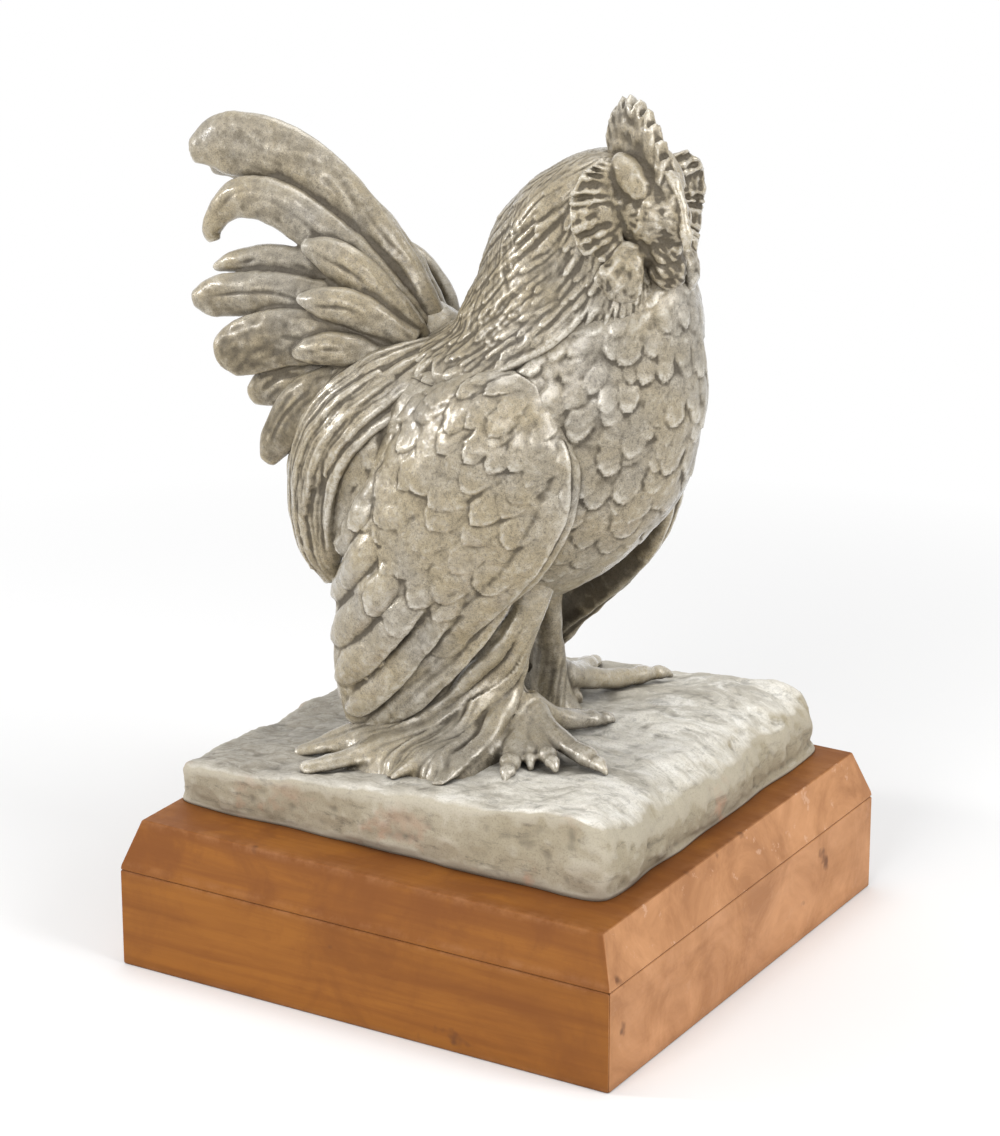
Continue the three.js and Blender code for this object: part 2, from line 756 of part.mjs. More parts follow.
function wattleGeometry(sign) {
  const rows = [
    [0.3, sign * 0.5, -0.55, 0.32, 0.3],
    [0.3, sign * 0.84, -0.95, 0.47, 0.42],
    [0.28, sign * 0.96, -1.35, 0.46, 0.42],
    [0.26, sign * 0.98, -1.64, 0.18, 0.2],
  ];
  return faceLimb(rows, { flat: vec(0, sign, 0), sides: 8, steps: 5 });
}

function eyeGeometry(sign) {
  const ball = new THREE.SphereGeometry(EYE_DIAMETER / 2, 8, 6);
  const place = face(0.4, sign * 0.64, 0.6);
  return onHead(ball.translate(place.x, place.y, place.z));
}

// Assembly: each section is cut back by the larger ones that it is luted to

function sculpture() {
  const group = new THREE.Group();
  const add = (name, manifold) => group.add(meshOf(name, geometryOf(manifold), clay));
  const taken = [];
  // Keeps a section clear of all that is already in place, and then counts it in.
  const lute = (name, geometry, outline = [geometry]) => {
    const whole = geometry.isBufferGeometry ? solid(geometry) : geometry;
    const cut = taken.reduce((rest, other) => rest.subtract(other), whole);
    taken.push(...outline.map((piece) => solid(swollen(piece, SLIP_GAP))));
    add(name, largest(cut));
  };
  const sides = (name, geometry, drop) => {
    lute(`right_${name}`, geometry);
    lute(`left_${name}`, mirrored(geometry).translate(0, 0, -drop));
  };
  const joined = (geometries) => geometries.map(solid).reduce((a, b) => a.add(b));

  const ground = groundGeometry();
  lute("ground_slab", solid(ground).subtract(solid(groundHollow())), [ground]);

  const trunk = trunkGeometry();
  const shell = solid(trunk).subtract(solid(swollen(trunk, -CLAY_WALL))).subtract(solid(ventGeometry()));
  const body = shell.subtract(solid(neckCutter(true)));
  add("body_right_half", largest(body.subtract(solid(halfCutter(1)))));
  add("body_left_half", largest(body.subtract(solid(halfCutter(-1)))));
  add("neck", largest(shell.subtract(solid(neckCutter(false)))));
  taken.push(solid(swollen(trunk, SLIP_GAP)));

  lute("head", headGeometry());
  lute("comb", combGeometry());
  lute("upper_beak", upperBeakGeometry());
  lute("lower_beak", lowerBeakGeometry());
  for (const [name, sign] of [
    ["right", -1],
    ["left", 1],
  ]) {
    lute(`${name}_cheek_lobe`, lobeGeometry(sign));
    lute(`${name}_wattle`, wattleGeometry(sign));
    lute(`${name}_eye`, eyeGeometry(sign));
  }

  lute("tail_root", tailRootGeometry());
  for (const [name, rows] of Object.entries(TAIL_FEATHERS)) {
    sides(name, featherGeometry(rows), LEFT_TAIL_DROP);
  }
  sides("saddle", saddleGeometry(), 0);
  sides("wing", wingGeometry(), LEFT_WING_DROP);
  for (const [name, leg] of [
    ["right", RIGHT_LEG],
    ["left", LEFT_LEG],
  ]) {
    const toes = footGeometries(leg);
    const plumes = plumeGeometries(leg);
    lute(`${name}_foot`, joined(toes), toes);
    lute(`${name}_shank`, shankGeometry(leg));
    lute(`${name}_leg_plumes`, joined(plumes), plumes);
  }
  group.position.z = PLINTH_HEIGHT;
  return group;
}

// The whole stands with its origin under the middle of its bounding box.
const rooster = new THREE.Group();
rooster.add(plinth(), sculpture());
const middle = new THREE.Box3().setFromObject(rooster, true).getCenter(vec(0, 0, 0));
rooster.children.forEach((child) => child.position.add(vec(-middle.x, -middle.y, 0)));

export default rooster;
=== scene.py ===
import math

import bmesh
import bpy
import numpy as np
from bpy.props import FloatProperty, FloatVectorProperty, PointerProperty
from mathutils import Matrix, Vector


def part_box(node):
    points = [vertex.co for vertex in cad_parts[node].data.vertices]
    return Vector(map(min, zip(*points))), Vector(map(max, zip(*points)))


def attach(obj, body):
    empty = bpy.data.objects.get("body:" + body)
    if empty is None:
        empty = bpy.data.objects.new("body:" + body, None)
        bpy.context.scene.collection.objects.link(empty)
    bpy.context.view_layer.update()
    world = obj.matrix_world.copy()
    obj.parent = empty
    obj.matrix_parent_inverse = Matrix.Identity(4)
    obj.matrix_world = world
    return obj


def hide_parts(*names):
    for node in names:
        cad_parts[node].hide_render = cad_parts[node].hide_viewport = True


bl_info = {
    "name": "Clay Rooster",
    "version": (1, 0, 0),
    "blender": (4, 5, 0),
    "location": "View3D > Sidebar > Rooster",
    "description": "A feather-footed rooster in patinated clay on a bevelled wooden plinth",
    "category": "Object",
}

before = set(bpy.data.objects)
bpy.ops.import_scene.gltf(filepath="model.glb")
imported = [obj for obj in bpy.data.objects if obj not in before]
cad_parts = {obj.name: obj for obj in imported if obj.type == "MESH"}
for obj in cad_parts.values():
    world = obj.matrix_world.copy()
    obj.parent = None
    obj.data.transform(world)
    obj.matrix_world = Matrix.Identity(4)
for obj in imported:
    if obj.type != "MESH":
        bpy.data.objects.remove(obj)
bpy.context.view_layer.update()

MM = 0.001
PLINTH_LOW, PLINTH_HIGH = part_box("top_board")
# Middle of the plinth's upper face, where the sculptor's own measures in millimetres start.
HOME = np.array([(PLINTH_LOW.x + PLINTH_HIGH.x) / 2, (PLINTH_LOW.y + PLINTH_HIGH.y) / 2, PLINTH_HIGH.z])

SIDES = (("right", -1), ("left", 1))


# Sizes and colours


class ClaySettings(bpy.types.PropertyGroup):
    """Grain of the modelling and colours of the patina."""

    body_grain: FloatProperty(
        name="Body grain", description="Facet size on the body", default=0.0016, unit="LENGTH")
    fine_grain: FloatProperty(
        name="Fine grain", description="Facet size on neck, wings, saddle, tail and legs", default=0.00115,
        unit="LENGTH")
    head_grain: FloatProperty(
        name="Head grain", description="Facet size on the head", default=0.0009, unit="LENGTH")
    scale_lift: FloatProperty(
        name="Scale lift", description="How far a feather's tip stands off", default=0.0018, unit="LENGTH")
    patina: FloatVectorProperty(
        name="Patina", description="Grey of the painted clay", default=(0.306, 0.272, 0.212),
        subtype="COLOR", min=0, max=1)
    ochre: FloatVectorProperty(
        name="Ochre", description="Warm tint in the patina", default=(0.362, 0.298, 0.188),
        subtype="COLOR", min=0, max=1)
    # Also the colour of the painted highlight on ridges and upward faces.
    rubbed: FloatVectorProperty(
        name="Rubbed", description="Silvery grey of the rubbed ridges", default=(0.70, 0.655, 0.565),
        subtype="COLOR", min=0, max=1)
    # Also the colour of the painted shade in hollows, under and between the parts, and over the darkened
    # pieces.
    crevice: FloatVectorProperty(
        name="Crevice", description="Dark wash left in the grooves", default=(0.036, 0.027, 0.018),
        subtype="COLOR", min=0, max=1)
    terracotta: FloatVectorProperty(
        name="Terracotta", description="Bare clay where the paint has gone", default=(0.48, 0.24, 0.15),
        subtype="COLOR", min=0, max=1)
    ground: FloatVectorProperty(
        name="Ground", description="Pale grey of the slab", default=(0.73, 0.70, 0.62),
        subtype="COLOR", min=0, max=1)


class PlinthSettings(bpy.types.PropertyGroup):
    """Woodwork of the plinth."""

    arris: FloatProperty(
        name="Arris", description="Rounding of the boards' edges", default=0.0012, unit="LENGTH")
    stain: FloatVectorProperty(
        name="Stain", description="Main colour of the stained wood", default=(0.285, 0.102, 0.012),
        subtype="COLOR", min=0, max=1)
    dark_stain: FloatVectorProperty(
        name="Dark stain", description="Dark streaks in the wood", default=(0.18, 0.056, 0.008),
        subtype="COLOR", min=0, max=1)
    # Also the colour of the painted light and sheen on the right side.
    worn: FloatVectorProperty(
        name="Worn", description="Worn edges and flakes", default=(0.62, 0.315, 0.150),
        subtype="COLOR", min=0, max=1)


class StageSettings(bpy.types.PropertyGroup):
    """Floor and light."""

    floor: FloatVectorProperty(
        name="Floor", description="Colour of the floor", default=(0.9, 0.9, 0.9),
        subtype="COLOR", min=0, max=1)
    key: FloatProperty(name="Key", description="Power of the light on the right", default=44.0, unit="POWER")
    overhead: FloatProperty(
        name="Overhead", description="Power of the overhead light", default=19.0, unit="POWER")
    left: FloatProperty(name="Left", description="Power of the light on the left", default=15.0, unit="POWER")
    front: FloatProperty(name="Front", description="Power of the light in front", default=37.0, unit="POWER")
    sky: FloatProperty(name="Sky", description="Strength of the soft light all round", default=0.38)


# Arrays of points


def eased(rows, count):
    """Rows of numbers at equal steps along a smooth curve through the given rows."""
    rows = np.array(rows, float)
    padded = np.vstack([2 * rows[0] - rows[1], rows, 2 * rows[-1] - rows[-2]])
    t = np.linspace(0, len(rows) - 1, count)
    i = np.minimum(t.astype(int), len(rows) - 2)
    f = (t - i)[:, None]
    a, b, c, d = padded[i], padded[i + 1], padded[i + 2], padded[i + 3]
    return b + 0.5 * f * (c - a + f * (2 * a - 5 * b + 4 * c - d + f * (3 * (b - c) + d - a)))


def unit(vectors):
    return vectors / np.maximum(np.linalg.norm(vectors, axis=-1, keepdims=True), 1e-12)


def step(low, high, value):
    """Smooth step from 0 at low to 1 at high."""
    t = np.clip((value - low) / (high - low), 0, 1)
    return t * t * (3 - 2 * t)


def ripple(points, size, seed, stretch=(1, 1, 1)):
    """A smooth random field of about unit strength, with lumps of the given size."""
    cells = 32
    rng = np.random.default_rng(seed)
    values = rng.uniform(-2, 2, (cells, cells, cells))
    turn = np.linalg.qr(rng.normal(size=(3, 3)))[0]
    place = points / np.array(stretch) @ turn / (0.5 * size) + rng.uniform(0, cells, 3)
    cell = np.floor(place).astype(int)
    share = place - cell
    share = share * share * (3 - 2 * share)
    field = np.zeros(len(points))
    for corner in np.ndindex(2, 2, 2):
        weight = np.where(np.array(corner), share, 1 - share).prod(1)
        field += weight * values[tuple(((cell + corner) % cells).T)]
    return field


def ripples(points, *rows):
    """Several ripples together. A row is strength, size and seed."""
    return sum(strength * ripple(points, size, seed) for strength, size, seed in rows)


def nearest(points, spots):
    """Distance of each point to the nearest spot."""
    return np.min([np.linalg.norm(points - spot, axis=1) for spot in spots], axis=0)


# Skins


def skin(bm, rings):
    """Closes a skin over rings of points in millimetres, with a pole at each end."""
    rings = np.asarray(rings, float)
    count, sides = rings.shape[:2]
    poles = [np.repeat(ring.mean(0)[None, None], sides, 1) for ring in (rings[0], rings[-1])]
    table = np.concatenate([poles[0], rings, poles[1]])
    table = np.concatenate([table, table[:, :1]], axis=1) * MM + HOME
    made = bmesh.ops.create_grid(bm, x_segments=sides, y_segments=count + 1, size=1)
    for vert, place in zip(made["verts"], table.reshape(-1, 3)):
        vert.co = place
    bmesh.ops.remove_doubles(bm, verts=made["verts"], dist=1e-7)


def limb_frame(stations, out, count):
    """Centre line, breadth, thickness and the two cross directions of a limb."""
    rows = eased(stations, count)
    path = rows[:, :3]
    course = unit(np.gradient(path, axis=0))
    out = np.broadcast_to(np.array(out, float), path.shape)
    outward = unit(out - course * (out * course).sum(1, keepdims=True))
    wide = np.cross(course, outward)
    return path, np.maximum(rows[:, 3], 0.2), np.maximum(rows[:, 4], 0.2), outward, wide


def course_of(stations, out, count):
    """Centre line of a limb, and the way across it at each step."""
    path, _, _, _, wide = limb_frame(stations, out, count)
    return path, wide


def limb(bm, stations, out=(0, -1, 0), sides=28, count=40, curl=0, square=1.0):
    """A limb or feather. A station is x, y, z, half breadth and half thickness. `curl` draws the edges in and
    `square` fills the section's corners."""
    path, breadth, thick, outward, wide = limb_frame(stations, out, count)
    turn = np.linspace(0, 2 * math.pi, sides, endpoint=False)
    across = np.sign(np.cos(turn)) * np.abs(np.cos(turn)) ** square
    above = np.sign(np.sin(turn)) * np.abs(np.sin(turn)) ** square
    lift = thick[:, None] * above - curl * (breadth / breadth.max())[:, None] * across ** 2
    spread = breadth[:, None] * across
    skin(bm, path[:, None] + wide[:, None] * spread[..., None] + outward[:, None] * lift[..., None])


def lump(bm, place, radii, turn=(0, 0, 0)):
    """A rounded lump of clay at a place in millimetres."""
    made = bmesh.ops.create_icosphere(bm, subdivisions=4, radius=1)
    turns = [Matrix.Rotation(angle, 4, axis) for angle, axis in zip(turn, "XYZ")]
    spin = turns[2] @ turns[1] @ turns[0]
    size = Matrix.Diagonal([r * MM for r in radii] + [1])
    place = Matrix.Translation(Vector(np.array(place) * MM + HOME))
    bmesh.ops.transform(bm, matrix=place @ spin @ size, verts=made["verts"])


def drape(bm, lines, thick):
    """A sheet of clay drawn over a fan of lines."""
    count = sides = 48
    curves = np.stack([eased(line, count) for line in lines])
    sheet = np.stack([eased(curves[:, i], sides) for i in range(count)])
    normal = unit(np.cross(np.gradient(sheet, axis=0), np.gradient(sheet, axis=1)))
    half = normal * (thick * np.sqrt(1 - np.linspace(-0.95, 0.95, sides) ** 2))[None, :, None]
    skin(bm, np.concatenate([sheet + half, (sheet - half)[:, ::-1]], axis=1))


def blade(bm, root, edge, thickness, sway):
    """A fan-like blade from a root line out to an edge line. Thickness and sway are functions of the share of
    the way out and the share along the edge, and both act along the blade's own normal."""
    run = edge - root
    normal = unit(np.cross(run[0], run[-1]) + np.cross(run[len(run) // 3], edge[-1] - edge[0]) * 0.2)
    reach = np.concatenate([np.linspace(0, 1, 14), np.linspace(1, 0, 14)[1:-1]])
    face = np.concatenate([np.ones(13), [0], -np.ones(12)])
    rings = []
    for i, share in enumerate(np.linspace(0, 1, len(edge))):
        flat = root[i] + run[i] * reach[:, None]
        rings.append(flat + normal * (face * thickness(reach, share) + sway(reach, share))[:, None])
    skin(bm, rings)


# Clay


def fused(name, bm, grain, rounds=6):
    """One closed piece of clay from overlapping skins, with its joints smoothed over."""
    bmesh.ops.recalc_face_normals(bm, faces=bm.faces[:])
    piece = made_piece(name, bm)
    mesh = piece.data
    remesh = piece.modifiers.new("Fuse", "REMESH")
    remesh.mode = "VOXEL"
    remesh.voxel_size = grain
    remesh.use_smooth_shade = True
    depsgraph = bpy.context.evaluated_depsgraph_get()
    solid = bpy.data.meshes.new_from_object(piece.evaluated_get(depsgraph))
    piece.modifiers.clear()
    piece.data = solid
    bpy.data.meshes.remove(mesh)
    solid.name = name
    points, edges = points_of(solid), edges_of(solid)
    for _ in range(rounds):
        points = relaxed(points, edges, 1, 0.55)
        points = relaxed(points, edges, 1, -0.50)
    move_points(solid, points)
    return piece


def points_of(mesh):
    flat = np.empty(len(mesh.vertices) * 3, np.float32)
    mesh.vertices.foreach_get("co", flat)
    return flat.reshape(-1, 3).astype(float)


def normals_of(mesh):
    flat = np.empty(len(mesh.vertices) * 3, np.float32)
    mesh.vertex_normals.foreach_get("vector", flat)
    return flat.reshape(-1, 3).astype(float)


def edges_of(mesh):
    flat = np.empty(len(mesh.edges) * 2, np.int32)
    mesh.edges.foreach_get("vertices", flat)
    return flat.reshape(-1, 2)


def move_points(mesh, points):
    mesh.vertices.foreach_set("co", points.astype(np.float32).ravel())
    mesh.update()


def relaxed(values, edges, rounds, pull=0.5):
    """Each vertex's values drawn towards the mean of its neighbours'."""
    count = len(values)
    a, b = edges.T
    degree = np.maximum(np.bincount(edges.ravel(), minlength=count), 1)
    values = values.reshape(count, -1)
    for _ in range(rounds):
        total = np.stack([np.bincount(a, v[b], count) + np.bincount(b, v[a], count) for v in values.T], 1)
        values = values + pull * (total / degree[:, None] - values)
    return values


def local(mesh):
    """The piece's points in the sculptor's millimetres."""
    return (points_of(mesh) - HOME) / MM


def raise_skin(mesh, height):
    """Moves the skin out by a height in millimetres at each point."""
    move_points(mesh, points_of(mesh) + normals_of(mesh) * (height * MM)[:, None])


def soften(mesh, share, rounds):
    """Smooths the skin, from not at all where the share is 0 to in full where it is 1."""
    points = points_of(mesh)
    move_points(mesh, points * (1 - share) + relaxed(points, edges_of(mesh), rounds) * share)


# Depth in metres at which a narrow groove, or a broad hollow, is marked in full.
FINE_GROOVE = 0.00036
BROAD_GROOVE = 0.00100


def wash(mesh, depth=1.0, painted_shade=0):
    """Marks the grooves where a dark wash stays and the ridges where it is rubbed off. A larger depth marks
    less. The last argument adds painted shade to all of the piece, or to each point by its own amount, in the
    groove mark; below 0 it paints the piece paler through the ridge mark instead."""
    points, normals, edges = points_of(mesh), normals_of(mesh), edges_of(mesh)
    fine = ((relaxed(points, edges, 3) - points) * normals).sum(1)
    broad = ((relaxed(points, edges, 22) - points) * normals).sum(1)
    groove = relaxed(fine / FINE_GROOVE + broad / BROAD_GROOVE, edges, 1)[:, 0] / depth + painted_shade
    # The groove mark also carries the painted shade, and the ridge mark the paler paint where it is below 0.
    for name, value in (("crevice", np.clip(groove, 0, 1)), ("ridge", np.clip(-groove, 0, 1))):
        mark = mesh.attributes.new(name, "FLOAT", "POINT")
        mark.data.foreach_set("value", value.astype(np.float32))


def feather_heights(points, normals, plan, seed, soft=0.76):
    """Height of overlapping feathers at each point, in millimetres. Each feather in the plan is a place near
    the skin, the way that its tip points, its length, its half width and the lift of its tip."""
    rng = np.random.default_rng(seed)
    height = np.zeros(len(points))
    order = np.argsort(points[:, 2])
    levels = points[order, 2]
    for place, flow, length, width, lift in plan:
        reach = 1.1 * length + 4
        lowest, highest = np.searchsorted(levels, [place[2] - reach, place[2] + reach])
        span = order[lowest:highest]
        near = span[np.abs(points[span] - place).max(1) < reach]
        if not len(near):
            continue
        root = near[((points[near] - place) ** 2).sum(1).argmin()]
        outward = normals[root]
        course = np.array(flow) - outward * (outward @ np.array(flow))
        if np.linalg.norm(course) < 0.15:
            continue
        course = unit(unit(course) + 0.13 * rng.normal(size=3))
        course = unit(course - outward * (outward @ course))
        side = np.cross(outward, course)
        offset = points[near] - points[root]
        s = offset @ course / length
        t = offset @ side / width + rng.uniform(-0.3, 0.3) * s ** 2
        shoulder = max(0.2, 1 - rng.uniform(1.0, 1.5) * width / length)
        tip = np.clip((s - shoulder) / (1 - shoulder), 0, 1)
        outline = (1 - tip ** 2) ** rng.uniform(0.45, 0.85) * (0.78 + 0.22 * np.clip(s / shoulder, 0, 1))
        ragged = 1 + 0.07 * np.sin(9 * t + 14 * s + rng.uniform(0, 6))
        edge = np.abs(t) * ragged / np.maximum(outline, 1e-3)
        crown = 1 - 0.45 * np.clip(edge, 0, 1) ** 2
        grow = step(0.0, 0.3, s) * (0.2 + 0.8 * np.clip(s, 0, 1))
        facing = step(0.1, 0.5, normals[near] @ outward) * (np.abs(offset @ outward) < 0.55 * length + 3)
        own = lift * grow * crown * (1 - step(soft, 1.05, edge)) * facing * ((s > 0) & (s < 1.02))
        height[near] = np.maximum(height[near], own)
    return height


def along_paths(points, paths):
    """The nearest path to each point: its number, the share along it, and the signed distance across it."""
    batch = 20000
    best = np.full(len(points), np.inf)
    which = np.zeros(len(points), int)
    share = np.zeros(len(points))
    aside = np.zeros(len(points))
    for number, (path, wide) in enumerate(paths):
        for start in range(0, len(points), batch):
            part = slice(start, start + batch)
            gap = ((points[part, None] - path[None]) ** 2).sum(2)
            k = gap.argmin(1)
            distance = gap[np.arange(len(k)), k]
            closer = distance < best[part]
            rows = np.flatnonzero(closer) + start
            best[rows] = distance[closer]
            which[rows] = number
            share[rows] = k[closer] / (len(path) - 1)
            aside[rows] = ((points[rows] - path[k[closer]]) * wide[k[closer]]).sum(1)
    return which, share, aside


def made_piece(name, bm):
    """A new object from a finished bmesh."""
    mesh = bpy.data.meshes.new(name)
    bm.to_mesh(mesh)
    bm.free()
    piece = bpy.data.objects.new(name, mesh)
    bpy.context.scene.collection.objects.link(piece)
    return piece


def set_piece(piece, nodes, body, material):
    """Puts the finish on a piece and lets it stand for its CAD nodes."""
    piece.data.materials.clear()
    piece.data.materials.append(material)
    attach(piece, body)
    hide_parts(*nodes)


def set_clay(piece, nodes):
    """Finishes a piece of the bird."""
    set_piece(piece, nodes, "sculpture", clay_finish())


# Forms shared by the pieces, in millimetres above the middle of the plinth

BODY_LENGTH = 248
BODY_WIDTH = 154
BODY_CLEARANCE = 133
TRUNK_HEIGHT = 299
LEFT_WING_DROP = 20
LEFT_TAIL_DROP = 12

# Share of the trunk's height, then its middle, half length and half width there, as shares of half the body's
# length or width.
TRUNK_SECTIONS = [
    [0.0, 0.06, 0.16, 0.26], [0.03, 0.02, 0.34, 0.49], [0.08, -0.04, 0.59, 0.72], [0.165, -0.065, 0.84, 0.89],
    [0.28, -0.02, 1.0, 0.99], [0.415, 0.09, 0.985, 1.0], [0.515, 0.26, 0.84, 0.94], [0.6, 0.42, 0.66, 0.83],
    [0.65, 0.45, 0.63, 0.78], [0.715, 0.475, 0.575, 0.7], [0.81, 0.46, 0.492, 0.56], [0.86, 0.445, 0.4, 0.52],
    [0.91, 0.46, 0.31, 0.47], [0.95, 0.525, 0.235, 0.4], [0.985, 0.575, 0.15, 0.26], [1.0, 0.61, 0.06, 0.1],
]


def along(share):
    return share * BODY_LENGTH / 2


def across(share):
    return share * BODY_WIDTH / 2


def up(share):
    return BODY_CLEARANCE + share * TRUNK_HEIGHT


# The same in even steps, with its sizes in millimetres.
TRUNK_TABLE = eased(TRUNK_SECTIONS, 120) * np.array([1, BODY_LENGTH / 2, BODY_LENGTH / 2, BODY_WIDTH / 2])


def trunk_size(share):
    """Middle, half length and half width of the trunk at a share of its height."""
    return [np.interp(share, TRUNK_TABLE[:, 0], TRUNK_TABLE[:, k]) for k in (1, 2, 3)]


def trunk_point(share, turn):
    """A point on the trunk: turn 0 faces forward and a quarter turn back is the right side."""
    middle, length, width = trunk_size(share)
    return np.array([middle + length * math.cos(turn), width * math.sin(turn), up(share)])


def trunk_rings(low, high, count):
    turns = np.linspace(0, 2 * math.pi, 84, endpoint=False)
    return [[trunk_point(share, turn) for turn in turns] for share in np.linspace(low, high, count)]


# Turn round the neck in degrees, and the height of the hackle's lower edge there.
HACKLE_EDGE = [
    [-180, 302], [-150, 296], [-110, 292], [-95, 294], [-88, 318], [-70, 340], [-46, 346], [-32, 362],
    [-16, 382], [0, 390], [16, 382], [32, 362], [46, 346], [70, 340], [88, 318], [95, 294], [110, 292],
    [150, 296], [180, 302],
]


def trunk_turn(points):
    """Turn of each point round the trunk in degrees, 0 in front and below 0 on the right."""
    middle = trunk_size((points[:, 2] - BODY_CLEARANCE) / TRUNK_HEIGHT)[0]
    return np.degrees(np.arctan2(points[:, 1] / BODY_WIDTH, (points[:, 0] - middle) / BODY_LENGTH))


def above_hackle(points):
    """Height of each point above the lower edge of the hackle."""
    edge = np.array(HACKLE_EDGE, float)
    return points[:, 2] - np.interp(trunk_turn(points), edge[:, 0], edge[:, 1])


WING_STATIONS = [
    [0.43, -16, 0.555, 16, 0.6], [0.36, -6, 0.49, 46, 1], [0.26, 1, 0.39, 65, 1], [0.1, 3, 0.265, 73, 0.94],
    [-0.11, 2, 0.13, 65, 0.82], [-0.31, 0, -0.01, 50, 0.66], [-0.455, -2, -0.135, 34, 0.5],
    [-0.55, -5, -0.225, 17, 0.34], [-0.59, -7, -0.262, 6, 0.2],
]
RIGHT_WING_TUCK = [0, 0, 1, 5, 7, 6, 3, 0, 0]
WING_HALF_THICKNESS = 16
WING_CURL = 18


def wing_stations(sign):
    """Stations of a wing; the right one lies closer in along its lower front."""
    rows = []
    for (x, y, z, breadth, thick), tuck in zip(WING_STATIONS, RIGHT_WING_TUCK):
        drop, tuck = (LEFT_WING_DROP, 0) if sign > 0 else (0, tuck)
        place = [along(x) - 0.9 * tuck, sign * (BODY_WIDTH / 2 + y), up(z) - drop]
        rows.append([*place, breadth - tuck, thick * WING_HALF_THICKNESS])
    return rows


SADDLE_STATIONS = [
    [-0.22, 0.18, 0.55, 16, 8], [-0.38, 0.55, 0.52, 26, 11], [-0.58, 0.75, 0.46, 31, 13],
    [-0.74, 0.8, 0.38, 33, 14], [-0.84, 0.78, 0.28, 32, 14], [-0.88, 0.73, 0.17, 28, 13],
    [-0.86, 0.68, 0.08, 21, 11], [-0.81, 0.64, 0.02, 8, 6],
]


def saddle_stations(sign):
    return [[along(x), sign * across(y), up(z), *size] for x, y, z, *size in SADDLE_STATIONS]


# Each station is x from the tail's root, y from the middle of the bird, z from the root, and half breadth.
TAIL_FEATHERS = {
    "top_sickle": [
        [12, 5, -10, 12], [-10, 9, 30, 16], [-35, 10, 58, 18], [-64, 10, 82, 20], [-93, 10, 98, 21],
        [-124, 10, 104, 21], [-151, 10, 104, 19], [-172, 10, 96, 8]],
    "hooked_sickle": [
        [8, 14, -14, 13], [-17, 21, 22, 15], [-46, 23, 46, 16], [-75, 24, 63, 15.5], [-101, 24, 74, 14.5],
        [-124, 24, 73, 13], [-140, 24, 63, 10], [-148, 24, 50, 7], [-146, 24, 42, 4]],
    "sickle_covert": [
        [6, 22, -6, 11], [-10, 32, 20, 14], [-29, 36, 38, 14.5], [-52, 36, 48, 12], [-69, 35, 52, 4]],
    "fine_quill": [
        [-6, 18, 6, 10], [-50, 27, 31, 13], [-92, 30, 36, 11], [-123, 30, 33, 8], [-141, 30, 27, 3]],
    "upper_quill": [
        [4, 24, -8, 11], [-33, 38, 13, 15], [-68, 41, 18, 15], [-106, 42, 16, 15], [-137, 42, 10, 13],
        [-151, 42, 7, 6]],
    "quill_covert": [[8, 30, -4, 10], [-22, 48, 18, 12], [-45, 53, 22, 10], [-62, 52, 22, 3]],
    "middle_quill": [
        [4, 30, -18, 11], [-35, 49, -3, 16], [-68, 54, -4, 18], [-98, 55, -13, 19], [-115, 55, -22, 16],
        [-122, 55, -27, 7]],
    "low_covert": [[4, 36, -16, 9], [-26, 56, -6, 11], [-46, 61, -8, 9], [-60, 60, -12, 3]],
    "under_quill": [[-10, 30, -26, 12], [-65, 46, -30, 15], [-91, 47, -42, 13], [-103, 47, -49, 6]],
    "hanging_quill": [
        [-6, 38, -25, 12], [-36, 58, -33, 15], [-60, 61, -50, 16], [-76, 60, -71, 13], [-85, 58, -87, 6]],
}
TAIL_ROOT = np.array([along(-0.47), 0, up(0.566)])
FEATHER_HALF_THICKNESS = 6.5

GROUND_LENGTH, GROUND_DEPTH = 322, 302
GROUND_X, GROUND_Y = -11, 17
GROUND_SQUARENESS = 22


def squared_out(u, v):
    """How far out a spot lies, from 0 in the middle to 1 on the outline, a square with rounded corners."""
    return (np.abs(u) ** GROUND_SQUARENESS + np.abs(v) ** GROUND_SQUARENESS) ** (1 / GROUND_SQUARENESS)


def ground_height(x, y):
    """Height of the ground above the plinth: crowned, rising to the right and banked down to that edge."""
    u, v = (x - GROUND_X) * 2 / GROUND_LENGTH, (y - GROUND_Y) * 2 / GROUND_DEPTH
    share = np.minimum(1, squared_out(u, v))
    bank = 12 * np.maximum(0, (u - 0.7) / 0.3) ** 2
    return 33.5 + 8 * (1 - share ** 2) + 14.5 * u - 2 * v - bank


def ground_spot(share_x, share_y, lift):
    x, y = GROUND_X + share_x * GROUND_LENGTH / 2, GROUND_Y + share_y * GROUND_DEPTH / 2
    return np.array([x, y, ground_height(x, y) + lift])


